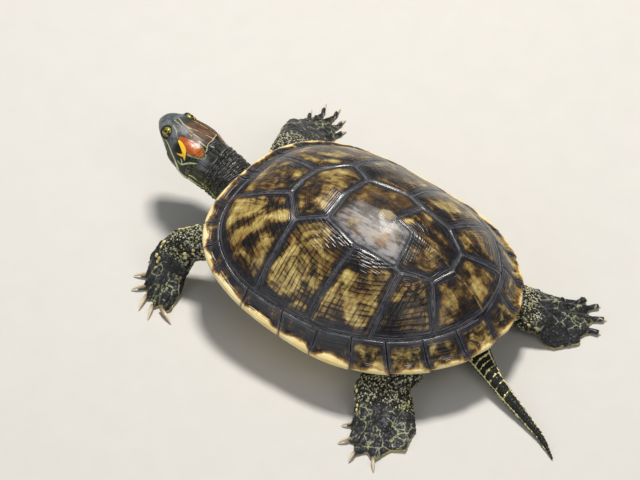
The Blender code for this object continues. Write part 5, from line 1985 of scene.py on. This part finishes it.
    def _fringe(self, around: Array) -> tuple[Array, Array]:
        """Weights of the webs' pale edge and of the yellow scales along the limbs' edges.

        Args:
            around: angle round the stretch, in degrees.

        Returns:
            The two weights.
        """
        body = self.body
        fringe = np.zeros(len(around))
        edge = np.zeros(len(around))
        low = smooth_step(2.0 * MM, 1.2 * MM, body.points[:, 2]) * (1.0 - self.claws)
        for line in BODY_LINES:
            if line.wrist:
                on = body.on(line.region)
                gaps = np.abs((around[:, None] - line.edges + 180.0) % 360.0 - 180.0)
                steep = smooth_step(0.8, 0.55, np.abs(self.up))
                steep = np.where(np.array(line.edges)[gaps.argmin(axis=1)] == 52.0, 1.0, steep)
                arm = smooth_step(10.0, 6.0, gaps.min(axis=1)) * smooth_step(12.0, 20.0, body.along) * steep
                edge = np.where(on, arm * smooth_step(line.wrist + 16.0, line.wrist + 6.0, body.along), edge)
                web = smooth_step(0.62, 0.4, self.up) * smooth_step(line.wrist, line.wrist + 4.0, body.along)
                fringe = np.where(on, web * low, fringe)
        return fringe, edge

    def _web_lines(self) -> Array:
        """Weight of the thin pale lines that run between the toes towards the wrist.

        Returns:
            The weights.
        """
        weight = np.zeros(len(self.body.points))
        for plan in CLAW_PLANS:
            heel = np.array(plan.heel)
            for first, second in zip(plan.toes, plan.toes[1:]):
                end = (np.array(first) + np.array(second)) / 2.0
                places = (mix(heel, end, share) for share in (0.3, 0.65, 1.0))
                line = np.array([self.body.frame.plan_mm(*place, 0.0)[:2] for place in places])
                gap, _, _ = nearest_on_path(self.body.points[:, :2], line)
                weight = np.maximum(weight, 1.0 - smooth_step(0.2 * MM, 0.45 * MM, gap))
        return weight

    def _coat_weights(self, out: dict) -> dict:
        """Where each kind of scale grows.

        Args:
            out: the attributes so far.

        Returns:
            Weights by name.
        """
        shown = smooth_step(0.0, 6.0, self.body.along) * (self.body.region != Region.TRUNK.value)
        top = smooth_step(-0.5, 0.1, self.up)
        inside, clear = 1.0 - out["edge"], 1.0 - self.claws
        return {
            "grows_granules": out["on_limb"] * shown * inside,
            "grows_plates": out["on_hand"] * top * (1.0 - out["fringe"]) * clear * inside,
            "grows_edge": out["edge"] * shown * clear,
            "grows_tail": out["on_tail"] * shown,
        }


def count_triangles(obj: bpy.types.Object) -> int:
    """Number of triangles in an object's mesh."""
    return sum(len(face.vertices) - 2 for face in obj.data.polygons)


@dataclass
class Skin:
    """One skin over all the flesh, with folds, lids, a mouth line and nostrils."""

    frame: ShellFrame
    head: HeadFrame
    palette: Palette
    voxel: float = 0.00052
    overlap: float = 0.0003
    inset: float = 0.0004
    target: int = 186000
    neck_fold: float = 3.1  # spacing of the folds, in millimetres, as the next two
    limb_fold: float = 5.2
    tail_fold: float = 2.4

    LEGS = tuple(f"{end}_{part}" for end in ("front_left", "front_right", "hind_left", "hind_right")
                 for part in ("leg", "foot"))
    FLESH = ("trunk", "neck", "head", "lower_jaw", "tail", *LEGS)
    HEELS = ((57.5, 71.5, 8.5, 4.2), (-48.0, 99.0, 7.5, 2.5))  # plan place, radius and rise in millimetres
    LID_DEPTHS = (0.45, 1.15, 0.55)  # the lids stand this far round an eye, in millimetres along x, y and z
    # In the head's frame: place, reach and rise of soft swellings, in millimetres
    SWELLINGS = ((-3.5, 30.5, 6.0, 12.0, 2.2), (10.5, 6.0, -12.0, 10.0, 1.1), (11.5, 24.0, -12.0, 13.0, 1.2))
    MOUTH = ((8.6, 4.6, -8.8), (8.4, -1.0, -8.6), (7.2, -6.0, -8.2), (5.0, -10.4, -8.0), (0.0, -13.4, -7.6))
    NOSTRIL = (1.25, -13.0, -2.0)
    # The ear's swelling: millimetres behind the eyes, half its length, degrees round the head, millimetres
    # for each degree, half its height
    EAR = (19.5, 8.0, 45.0, 0.235, 4.0)
    LID_OPENING = (3.95, 3.55)  # half its length and half its height, in millimetres

    def build(self) -> bpy.types.Object:
        """Join, remesh, shape and thin the skin.

        Returns:
            The piece.
        """
        body = self._joined()
        self._remesh(body)
        self._shape(body)
        self._thin(body)
        there = BodyMap(self.frame, self.head, read_points(body.data))
        for key, values in Markings(there, read_points(body.data, "normal")).attributes().items():
            write_attribute(body.data, key, values)
        body.data.shade_smooth()
        return dress(body, self.palette.skin, "skin", *self.FLESH)

    def _joined(self) -> bpy.types.Object:
        """Copies of the flesh nodes, welded and swollen until they overlap, with lids and toes.

        Returns:
            The object.
        """
        work = bmesh.new()
        for name in self.FLESH:
            part = bmesh.new()
            part.from_mesh(bpy.data.objects[name].data)
            bmesh.ops.remove_doubles(part, verts=part.verts, dist=1e-5)
            bmesh.ops.recalc_face_normals(part, faces=part.faces)
            part.normal_update()
            for vert in part.verts:
                vert.co += vert.normal * self.overlap
            mesh = mesh_of(part, "part")
            work.from_mesh(mesh)
            bpy.data.meshes.remove(mesh)
        self._add_lids(work)
        self._add_toes(work)
        return link_new("skin", mesh_of(work, "skin"))

    def _add_lids(self, work: bmesh.types.BMesh) -> None:
        """Add an ellipsoid round each eye.

        Args:
            work: the joined flesh.
        """
        for side, _ in SIDES:
            size = EYE_RADIUS + self.overlap
            place = Matrix.Translation(eye_centre(side)) @ Matrix(self.head.axes.tolist()).to_4x4()
            place = place @ Matrix.Diagonal((*(size + extra * MM for extra in self.LID_DEPTHS), 1.0))
            bmesh.ops.create_uvsphere(work, u_segments=40, v_segments=24, radius=1.0, matrix=place)

    def _add_toes(self, work: bmesh.types.BMesh) -> None:
        """Add the swellings of each toe's skin round the root of its claw.

        Args:
            work: the joined flesh.
        """
        for plan in CLAW_PLANS:
            for toe, tip in zip(plan.toes, plan.tips):
                turn = Matrix.Rotation(math.atan2(tip[1] - toe[1], tip[0] - toe[0]), 4, "Z")
                for share, *halves in plan.lobes:
                    middle = self.frame.plan_mm(*mix(np.array(toe), np.array(tip), share), 1.8)
                    size = Matrix.Diagonal((*(half * MM for half in halves), 1.0))
                    place = Matrix.Translation(middle) @ turn @ size
                    bmesh.ops.create_uvsphere(work, u_segments=24, v_segments=14, radius=1.0, matrix=place)

    def _remesh(self, obj: bpy.types.Object) -> None:
        """Merge the joined parts into one even, relaxed surface.

        Args:
            obj: the joined parts.
        """
        remesh = obj.modifiers.new("remesh", "REMESH")
        remesh.mode = "VOXEL"
        remesh.voxel_size = self.voxel
        relax = obj.modifiers.new("relax", "SMOOTH")
        relax.factor = 0.5
        relax.iterations = 8
        apply_modifiers(obj)
        LOG.info("skin remeshed: %d points", len(obj.data.vertices))

    def _shape(self, obj: bpy.types.Object) -> None:
        """Sink the skin to its true depth and add folds and the head's features.

        Args:
            obj: the skin.
        """
        points = read_points(obj.data)
        normals = read_points(obj.data, "normal")
        body = BodyMap(self.frame, self.head, points)
        coated = (body.region >= Region.TAIL.value) | body.on(Region.TRUNK)
        push = -self.overlap - self.inset * coated + self._folds(body)
        points = points + normals * push[:, None]
        points = self._features(body, points, normals)
        points = self._tuck_claws(self._heels(points, normals))
        points[:, 2] = np.maximum(points[:, 2], 0.00005)
        write_points(obj.data, points)

    def _tuck_claws(self, points: Array) -> Array:
        """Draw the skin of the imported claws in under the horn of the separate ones.

        Args:
            points: the skin's points.

        Returns:
            The moved points.
        """
        for plan in CLAW_PLANS:
            for curve, _ in plan.curves(self.frame):
                length = float(np.linalg.norm(curve[-1] - curve[0]))
                ahead = (curve[-1] - curve[0]) / length
                share = (points - curve[0]) @ ahead / length
                gap, index, part = nearest_on_path(points, curve)
                nearest = mix(curve[index], curve[index + 1], part[:, None])
                start = plan.lobes[-1][0] + 0.3
                held = smooth_step(start, start + 0.1, share) * (gap < 2.6 * MM)
                back = np.outer(0.1 * length * smooth_step(0.4, 1.0, share), ahead)
                points = mix(points, mix(nearest, points, 0.3) - back, held[:, None])
        return points

    def _heels(self, points: Array, normals: Array) -> Array:
        """Raise the fleshy heel behind each hind foot.

        Args:
            points: the skin's points.
            normals: their normals.

        Returns:
            The moved points.
        """
        for x, y, size, height in self.HEELS:
            centre = self.frame.plan_mm(x, y, 0.0)
            gap = np.linalg.norm(points[:, :2] - centre[:2], axis=1) / (size * MM)
            hill = height * MM * (1.0 - smooth_step(0.15, 1.0, gap)) * smooth_step(0.1, 0.6, normals[:, 2])
            low = smooth_step(9.0 * MM, 4.0 * MM, points[:, 2])
            points = points + np.column_stack([0.0 * hill, 0.0 * hill, hill * low])
        return points

    def _folds(self, body: BodyMap) -> Array:
        """Wrinkles of the neck, soft creases of the limbs.

        Args:
            body: where the points are.

        Returns:
            How far out each point goes, in metres.
        """
        noise = Noise(SEED + 8)
        slant = body.along + 0.055 * np.abs(np.degrees(body.angle)) + 1.4 * noise(body.points, 0.006)
        neck = body.on(Region.NECK) * smooth_step(-2.0, 6.0, body.along)
        wave = np.sin(slant * 2.0 * math.pi / self.neck_fold)
        push = neck * (0.0003 * wave + 0.00042 * noise.fractal(body.points, 0.0042))
        limb = body.region >= Region.FRONT_LEFT.value
        push += limb * 0.0003 * noise.fractal(body.points, 0.006)
        crease = np.sin(body.along * 2.0 * math.pi / self.limb_fold + 2.0 * noise(body.points, 0.01))
        push += limb * 0.00016 * crease * smooth_step(34.0, 20.0, body.along)
        push += body.on(Region.TAIL) * 0.00014 * np.sin(body.along * 2.0 * math.pi / self.tail_fold)
        return push

    def _features(self, body: BodyMap, points: Array, normals: Array) -> Array:
        """Lids round the eyes, the mouth line, nostrils and the ear's faint swelling.

        Args:
            body: where the points were.
            points: the skin's points.
            normals: their normals.

        Returns:
            The moved points.
        """
        local = self.head.local(points)
        folded = local.copy()
        folded[:, 0] = np.abs(folded[:, 0])
        near = body.on(Region.HEAD)
        mouth, _, _ = nearest_on_path(folded, smooth_path(np.array(self.MOUTH), 6))
        lips = 0.00055 * (1.0 - smooth_step(0.15, 0.75, mouth)) - 0.00018 * bump_at(mouth, 1.3, 0.8)
        nostril = np.linalg.norm(folded - np.array(self.NOSTRIL), axis=1)
        pits = 0.00065 * (1.0 - smooth_step(0.2, 0.75, nostril))
        behind, length, angle, arc, height = self.EAR
        ear = np.hypot((local[:, 1] - behind) / length, (body.head_angle - angle) * arc / height)
        swell = 0.00045 * (1.0 - smooth_step(0.2, 1.1, ear)) * (local[:, 2] > -3.0)
        push = np.where(near, swell - lips - pits, 0.0)
        for x, y, z, reach, rise in self.SWELLINGS:
            gap = np.linalg.norm((local if x < 0.0 else folded) - np.array([x, y, z]), axis=1)
            push = push + rise * MM * (1.0 - smooth_step(0.1, 1.0, gap / reach))
        points = points + normals * push[:, None]
        for side, sign in SIDES:
            points = self._open_lids(points, side, sign)
        return points

    def _open_lids(self, points: Array, side: str, sign: float) -> Array:
        """Part the lids: skin in an almond round the gaze sinks behind the eye's surface.

        Args:
            points: the skin's points.
            side: left or right.
            sign: 1 on the left, -1 on the right.

        Returns:
            The moved points.
        """
        centre = np.array(eye_centre(side))
        gaze, along, up = eye_axes(self.head, sign)
        off = points - centre
        reach = np.linalg.norm(off, axis=1)
        length, height = self.LID_OPENING
        almond = np.hypot(off @ along / MM / length, off @ up / MM / height)
        inside = (off @ gaze > 0.0) & (reach < EYE_RADIUS * 1.7)
        open_share = np.where(inside, 1.0 - smooth_step(0.84, 1.06, almond), 0.0)
        fold = np.where(inside, bump_at(almond, 1.14, 0.12), 0.0)
        wanted = EYE_RADIUS - 0.8 * MM
        scale = mix(1.0, wanted / np.maximum(reach, 1e-6), open_share) + 0.05 * fold
        return centre + off * scale[:, None]

    def _thin(self, obj: bpy.types.Object) -> None:
        """Reduce the triangles, most of all on the trunk, which the shell hides.

        Args:
            obj: the skin.
        """
        body = BodyMap(self.frame, self.head, read_points(obj.data))
        keep = np.where(body.on(Region.TRUNK), 1.0, 0.32)
        keep = np.where(body.on(Region.HEAD), 0.02, keep)
        keep = np.where(body.on(Region.NECK), 0.15, keep)
        group = obj.vertex_groups.new(name="thin")
        for weight in np.unique(keep):
            group.add([int(i) for i in np.flatnonzero(keep == weight)], float(weight), "REPLACE")
        thin = obj.modifiers.new("thin", "DECIMATE")
        thin.ratio = min(1.0, self.target / count_triangles(obj))
        thin.vertex_group = group.name
        thin.vertex_group_factor = 6.0
        apply_modifiers(obj)
        obj.vertex_groups.clear()
        LOG.info("skin thinned: %d triangles", count_triangles(obj))


# ---- scales


class GeometryGraph(Graph):
    """Terse building of a geometry node tree."""

    def make(self, kind: str, settings: dict, **inputs: Value) -> bpy.types.Node:
        """A node with its properties and its usable inputs set.

        Args:
            kind: its type.
            settings: its properties, by name.
            inputs: values by the input's name, with underscores for spaces.

        Returns:
            The node.
        """
        made = self.node(kind, **settings)
        for key, value in inputs.items():
            name = key.replace("_", " ")
            self.feed(next(socket for socket in made.inputs if socket.enabled and socket.name == name), value)
        return made

    def named(self, name: str) -> bpy.types.NodeSocket:
        """A float attribute of the incoming mesh."""
        made = self.make("GeometryNodeInputNamedAttribute", {"data_type": "FLOAT"}, Name=name)
        return next(socket for socket in made.outputs if socket.enabled and socket.name == "Attribute")

    def random(self, low: float, high: float, seed: int) -> bpy.types.NodeSocket:
        """A random value for each point."""
        made = self.make("FunctionNodeRandomValue", {"data_type": "FLOAT"}, Min=low, Max=high, Seed=seed)
        return next(socket for socket in made.outputs if socket.enabled)


@dataclass(frozen=True)
class ScaleBed:
    """One kind of scale: where it grows, its spacing and its form, in metres."""

    name: str
    weight: str
    spacing: float
    radius: float
    height: float
    stretch: float
    sides: int
    seed: int


SCALE_BEDS = (
    ScaleBed("granules", "grows_granules", 0.00115, 0.00056, 0.00034, 1.25, 6, 1),
    ScaleBed("plates", "grows_plates", 0.002, 0.00118, 0.00026, 1.15, 8, 2),
    ScaleBed("edge_scales", "grows_edge", 0.0018, 0.00105, 0.0005, 1.3, 8, 3),
    ScaleBed("tail_scales", "grows_tail", 0.00125, 0.00072, 0.00024, 1.35, 6, 4),
)


@dataclass
class ScaleCoat:
    """Horny scales over the skin, spread, turned along the limb and made real by Geometry Nodes."""

    skin: bpy.types.Object
    palette: Palette
    patch: float = 0.003

    # Rings of a scale from below: radius and height, as shares of the scale's own
    PLAIN_RINGS = ((0.8, -0.9), (1.0, 0.0), (0.62, 0.78))
    FINE_RINGS = ((0.8, -0.9), (1.0, 0.0), (0.78, 0.62), (0.36, 0.94))

    def build(self) -> None:
        """Grow every kind of scale."""
        for bed in SCALE_BEDS:
            self._grow(bed)

    def _template(self, bed: ScaleBed) -> bpy.types.Object:
        """One closed domed scale of unit radius, lying along Y.

        Args:
            bed: the kind of scale.

        Returns:
            The scale.
        """
        rings = self.FINE_RINGS if bed.sides > 6 else self.PLAIN_RINGS
        points = [(0.0, 0.0, -0.9)]
        rims = [0.0]
        for radius, height in rings:
            for k in range(bed.sides):
                turn = 2.0 * math.pi * (k + 0.5) / bed.sides
                points.append((math.cos(turn) * radius, math.sin(turn) * radius * bed.stretch, height))
                rims.append(radius)
        points.append((0.0, 0.0, 1.0))
        rims.append(0.0)
        form = np.array(points) * np.array([1.0, 1.0, bed.height / bed.radius])
        faces = [(0, 1 + (k + 1) % bed.sides, 1 + k) for k in range(bed.sides)]
        faces += [tuple(1 + i for i in face) for face in ring_faces(len(rings), bed.sides)]
        last, top = 1 + (len(rings) - 1) * bed.sides, len(points) - 1
        faces += [(last + k, last + (k + 1) % bed.sides, top) for k in range(bed.sides)]
        marks = {"scale": np.ones(len(form)), "rim": np.array(rims),
                 "patch_x": form[:, 0] * self.patch / 2.0, "patch_y": form[:, 1] * self.patch / 2.0}
        return new_piece(f"{bed.name}_form", form, faces, marks)

    def _tree(self, bed: ScaleBed) -> tuple[bpy.types.NodeTree, dict]:
        """The node tree that grows the scales.

        Args:
            bed: the kind of scale.

        Returns:
            The tree, and its inputs' identifiers by name.
        """
        tree = bpy.data.node_groups.new(f"grow_{bed.name}", "GeometryNodeTree")
        kinds = {"Skin": "Geometry", "Form": "Object", "Spacing": "Float", "Radius": "Float", "Seed": "Int",
                 "Finish": "Material"}
        keys = {}
        for name, kind in kinds.items():
            socket = tree.interface.new_socket(name, in_out="INPUT", socket_type=f"NodeSocket{kind}")
            keys[name] = socket.identifier
        tree.interface.new_socket("Coat", in_out="OUTPUT", socket_type="NodeSocketGeometry")
        g = GeometryGraph(tree)
        given = g.node("NodeGroupInput").outputs
        spread = g.make("GeometryNodeDistributePointsOnFaces", {"distribute_method": "POISSON"},
                        Mesh=given["Skin"], Distance_Min=given["Spacing"], Density_Max=1.6 / bed.spacing**2,
                        Density_Factor=g.named(bed.weight), Seed=given["Seed"])
        toned = g.make("GeometryNodeStoreNamedAttribute", {"data_type": "FLOAT", "domain": "POINT"},
                       Geometry=spread.outputs["Points"], Name="tone",
                       Value=g.random(0.0, 1.0, bed.seed + 40))
        lie = g.vector(g.named("lie_x"), g.named("lie_y"), g.named("lie_z"))
        turned = g.make("FunctionNodeAlignRotationToVector", {"axis": "Y", "pivot_axis": "Z"},
                        Rotation=spread.outputs["Rotation"], Vector=lie)
        size = g.math("MULTIPLY", given["Radius"], g.random(0.78, 1.14, bed.seed))
        form = g.make("GeometryNodeObjectInfo", {}, Object=given["Form"])
        placed = g.make("GeometryNodeInstanceOnPoints", {}, Points=toned.outputs[0],
                        Instance=form.outputs["Geometry"], Rotation=turned.outputs[0], Scale=size)
        real = g.make("GeometryNodeRealizeInstances", {}, Geometry=placed.outputs[0])
        done = g.make("GeometryNodeSetMaterial", {}, Geometry=real.outputs[0], Material=given["Finish"])
        g.feed(g.node("NodeGroupOutput").inputs[0], done.outputs[0])
        return tree, keys

    def _grow(self, bed: ScaleBed) -> None:
        """Make one coat piece.

        Args:
            bed: the kind of scale.
        """
        form = self._template(bed)
        coat = link_new(f"coat_{bed.name}", self.skin.data.copy())
        tree, keys = self._tree(bed)
        grow = coat.modifiers.new("grow", "NODES")
        grow.node_group = tree
        settings = {"Form": form, "Spacing": bed.spacing, "Radius": bed.radius, "Seed": SEED + bed.seed,
                    "Finish": self.palette.skin}
        for name, value in settings.items():
            grow[keys[name]] = value
        apply_modifiers(coat)
        bpy.data.objects.remove(form)
        self._map(coat.data)
        coat.data.shade_smooth()
        dress(coat, self.palette.skin, "skin")

    @staticmethod
    def _map(mesh: bpy.types.Mesh) -> None:
        """Give each scale a small patch at its root's place on the skin's flat map.

        Args:
            mesh: the coat's mesh.
        """
        names = ("unwrap_u", "unwrap_v", "patch_x", "patch_y")
        values = np.zeros((4, len(mesh.vertices)), np.float32)
        for name, row in zip(names, values):
            mesh.attributes[name].data.foreach_get("value", row)
        flat = (values[:2] + values[2:]).T
        corners = np.zeros(len(mesh.loops), np.int32)
        mesh.loops.foreach_get("vertex_index", corners)
        layer = mesh.uv_layers.new(name="OFBake")
        layer.data.foreach_set("uv", flat[corners].astype(np.float32).ravel())


# ---- eyes and claws


GAZES = ((-0.38, 0.16, 0.91), (0.65, 0.02, 0.76))  # the right eye's and the left eye's, in the head's frame


def eye_axes(head: HeadFrame, sign: float) -> tuple[Array, Array, Array]:
    """Axes of an eye in the model's frame.

    Args:
        head: the head's frame.
        sign: 1 on the left, -1 on the right.

    Returns:
        Gaze, the eye's long axis and its up axis.
    """
    gaze = head.axes @ np.array(GAZES[sign > 0.0])
    gaze /= np.linalg.norm(gaze)
    along = np.cross(gaze, head.axes @ np.array([0.0, 0.0, 1.0])) * sign
    along /= np.linalg.norm(along)
    up = np.cross(gaze, along) * -sign
    return gaze, along, up


@dataclass
class Eyes:
    """Two eyeballs with a shallow corneal bulge."""

    head: HeadFrame
    palette: Palette

    def build(self) -> None:
        """Make both eyes."""
        for side, sign in SIDES:
            gaze, along, up = eye_axes(self.head, sign)
            work = bmesh.new()
            bmesh.ops.create_icosphere(work, subdivisions=5, radius=EYE_RADIUS)
            mesh = mesh_of(work, f"eyeball_{side}")
            points = read_points(mesh)
            ahead = points @ gaze / EYE_RADIUS
            points *= (1.0 + 0.035 * smooth_step(0.62, 1.0, ahead))[:, None]
            write_attribute(mesh, "gaze_x", points @ along / MM)
            write_attribute(mesh, "gaze_y", np.where(ahead > 0.0, points @ up / MM, 4.0))
            write_points(mesh, points + np.array(eye_centre(side)))
            mesh.shade_smooth()
            dress(link_new(mesh.name, mesh), self.palette.eye, "eye", f"eye_{side}")


@dataclass(frozen=True)
class ClawPlan:
    """Plan positions in millimetres of each toe's end and its claw's tip, and the claw's base."""

    foot: str
    heel: tuple
    toes: tuple
    tips: tuple
    radius: float
    height: float
    # Swellings of the toe's skin: share of the way, then half length, width and height in millimetres
    lobes: tuple = ((0.2, 3.6, 1.8, 2.0),)

    # Share of the way from toe to tip, share of the height, share of the radius
    KEYS = ((-0.34, 1.0, 0.92), (0.1, 1.12, 1.0), (0.45, 1.02, 0.78), (0.78, 0.62, 0.5), (1.0, 0.16, 0.1))

    def curves(self, frame: ShellFrame) -> list:
        """Middle lines of the foot's claws.

        Args:
            frame: the shell's place.

        Returns:
            Each claw's line, and its radius at each point of it.
        """
        out = []
        share, lift, size = smooth_path(np.array(self.KEYS), 5).T
        for toe, tip in zip(self.toes, self.tips):
            start, end = frame.plan_mm(*toe, 0.0), frame.plan_mm(*tip, 0.0)
            radii = self.radius * size * MM
            line = start + np.minimum(share, 0.985)[:, None] * (end - start)
            line[:, 2] = np.maximum(self.height * lift * MM, radii + 0.15 * MM)
            out.append((line, radii))
        return out


CLAW_PLANS = (
    ClawPlan("front_left", (64.0, -101.0),
             ((64.5, -115.0), (73.5, -110.0), (80.0, -102.8), (84.0, -94.5), (82.2, -87.0)),
             ((68.5, -121.0), (78.5, -114.6), (89.0, -100.2), (91.5, -91.0), (86.0, -78.0)), 1.28, 2.2),
    ClawPlan("front_right", (-88.0, -112.0),
             ((-101.5, -123.0), (-110.0, -119.0), (-112.5, -111.8), (-107.5, -104.8), (-101.0, -100.0)),
             ((-110.5, -127.5), (-120.0, -123.8), (-121.3, -113.8), (-115.0, -105.0), (-107.5, -98.5)),
             1.1, 1.7, ((0.18, 4.2, 2.0, 2.6),)),
    ClawPlan("hind_left", (74.0, 66.0),
             ((86.5, 54.6), (97.6, 61.0), (104.8, 70.6), (102.0, 82.8)),
             ((90.2, 50.4), (102.6, 57.4), (110.8, 71.8), (108.0, 87.6)), 1.22, 2.0),
    ClawPlan("hind_right", (-56.0, 101.0),
             ((-74.6, 99.0), (-75.2, 107.4), (-69.0, 115.0), (-59.5, 118.8)),
             ((-79.8, 101.2), (-80.0, 110.8), (-72.8, 120.6), (-61.2, 124.6)),
             0.95, 1.6, ((0.0, 3.8, 2.4, 2.2), (0.45, 3.6, 2.7, 2.0))),
)


@dataclass
class Claws:
    """Curved horn claws, one piece for each toe."""

    frame: ShellFrame
    palette: Palette
    sides: int = 20

    def build(self) -> None:
        """Make all claws."""
        for plan in CLAW_PLANS:
            for index, (line, radii) in enumerate(plan.curves(self.frame)):
                self._claw(f"claw_{plan.foot}_{index + 1}", line, radii)

    def _claw(self, name: str, line: Array, radii: Array) -> None:
        """One claw: rings along its line, narrower across than high.

        Args:
            name: the piece's name.
            line: its middle line.
            radii: its radius along the line.
        """
        ahead = line[-1] - line[0]
        across = np.array([ahead[1], -ahead[0], 0.0]) / math.hypot(ahead[0], ahead[1])
        turns = np.linspace(0.0, 2.0 * math.pi, self.sides, endpoint=False)
        rings = [middle + np.outer(np.cos(turns) * radius * 0.86, across)
                 + np.outer(np.sin(turns) * radius, (0.0, 0.0, 1.0)) for middle, radius in zip(line, radii)]
        faces = capped_faces(len(line), self.sides)
        marks = {"reach": np.repeat(np.linspace(0.0, 1.0, len(line)), self.sides),
                 "round": np.tile(np.cos(turns), len(line))}
        piece = closed_piece(name, np.vstack(rings), faces, marks)
        dress(piece, self.palette.claw, "skin")


# ---- stage


@dataclass
class Studio:
    """Camera, lights and a pale floor."""

    frame: ShellFrame
    azimuth: float = math.radians(38.0)
    elevation: float = math.radians(44.0)
    distance: float = 18.0 * SHELL_LENGTH
    side_shift: float = -0.146 * SHELL_LENGTH
    up_shift: float = 0.113 * SHELL_LENGTH
    lens: float = 330.1
    floor_half_width: float = 6.0

    # Each light's name, direction from the animal, distance, size, power and colour
    LIGHTS = (
        ("key", (-0.34, -0.22, 0.92), 1.5, 0.3, 28.0, (1.0, 0.95, 0.87)),
        ("rear", (0.3, 0.85, 0.8), 1.6, 0.9, 5.0, (1.0, 0.97, 0.93)),
        ("fill", (0.95, -0.2, 0.5), 1.8, 1.4, 7.0, (0.96, 0.98, 1.0)),
    )

    def build(self) -> None:
        """Set the stage."""
        bpy.context.scene.view_settings.view_transform = "Standard"
        self._camera()
        self._floor()
        self._world()
        for light in self.LIGHTS:
            self._light(*light)

    def _camera(self) -> None:
        """A long lens that looks down at the animal's left side."""
        sin_a, cos_a = math.sin(self.azimuth), math.cos(self.azimuth)
        sin_e, cos_e = math.sin(self.elevation), math.cos(self.elevation)
        right = Vector((-sin_a, cos_a, 0.0))
        up = Vector((-sin_e * cos_a, -sin_e * sin_a, cos_e))
        back = Vector((cos_e * cos_a, cos_e * sin_a, sin_e))
        camera = bpy.data.cameras.new("camera")
        camera.sensor_width = 36.0
        camera.lens = self.lens
        camera.clip_start = 0.1
        camera.clip_end = 30.0
        obj = link_new("camera", camera)
        turn = Matrix((right, up, back)).transposed()
        aim = Vector(self.frame.origin) + right * self.side_shift + up * self.up_shift
        place = aim + back * self.distance
        obj.matrix_world = Matrix.Translation(place) @ turn.to_4x4()
        bpy.context.scene.camera = obj

    def _floor(self) -> None:
        """A wide pale floor."""
        half = self.floor_half_width
        corners = np.array([(-half, -half, 0.0), (half, -half, 0.0), (half, half, 0.0), (-half, half, 0.0)])
        floor = new_piece("floor", corners, [(0, 1, 2, 3)])
        g = Surface("floor")
        grain = g.noise(g.place(), 60.0)
        g.feed(g.shader["Base Color"], g.blend(grain, (0.56, 0.555, 0.54), (0.6, 0.595, 0.58)))
        g.feed(g.shader["Roughness"], 0.75)
        floor.data.materials.append(g.material)

    def _world(self) -> None:
        """A dim, even surround."""
        world = bpy.data.worlds.new("studio")
        world.use_nodes = True
        background = world.node_tree.nodes["Background"]
        background.inputs["Color"].default_value = (0.95, 0.96, 1.0, 1.0)
        background.inputs["Strength"].default_value = 0.17
        bpy.context.scene.world = world

    def _light(self, name: str, direction: tuple, distance: float, size: float, power: float,
               colour: tuple) -> None:
        """A square light that points at the animal.

        Args:
            name: its name.
            direction: where it stands, seen from the animal.
            distance: how far off, in metres.
            size: its side, in metres.
            power: in watts.
            colour: its colour.
        """
        light = bpy.data.lights.new(name, "AREA")
        light.shape = "SQUARE"
        light.size = size
        light.energy = power
        light.color = colour
        obj = link_new(name, light)
        target = Vector(self.frame.origin) + Vector((0.0, 0.0, 0.03))
        place = target + Vector(direction).normalized() * distance
        obj.location = place
        obj.rotation_mode = "QUATERNION"
        obj.rotation_quaternion = (place - target).to_track_quat("Z", "Y")


# ---- assembly


def clear_default_scene() -> None:
    """Remove whatever the file started with."""
    for obj in list(bpy.data.objects):
        bpy.data.objects.remove(obj)


def main() -> None:
    """Build the scene in order: frame, stage, shell, body, eyes and claws."""
    logging.basicConfig(level=logging.INFO, format="%(name)s: %(message)s")
    clear_default_scene()
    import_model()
    dome = Dome()
    frame = ShellFrame.from_nodes(dome)
    head = HeadFrame.from_nodes()
    palette = Palette()
    Studio(frame).build()
    Carapace(dome, frame, palette).build()
    Plastron(dome, frame, palette).build()
    skin = Skin(frame, head, palette).build()
    ScaleCoat(skin, palette).build()
    Eyes(head, palette).build()
    Claws(frame, palette).build()


if __name__ == "__main__":
    main()
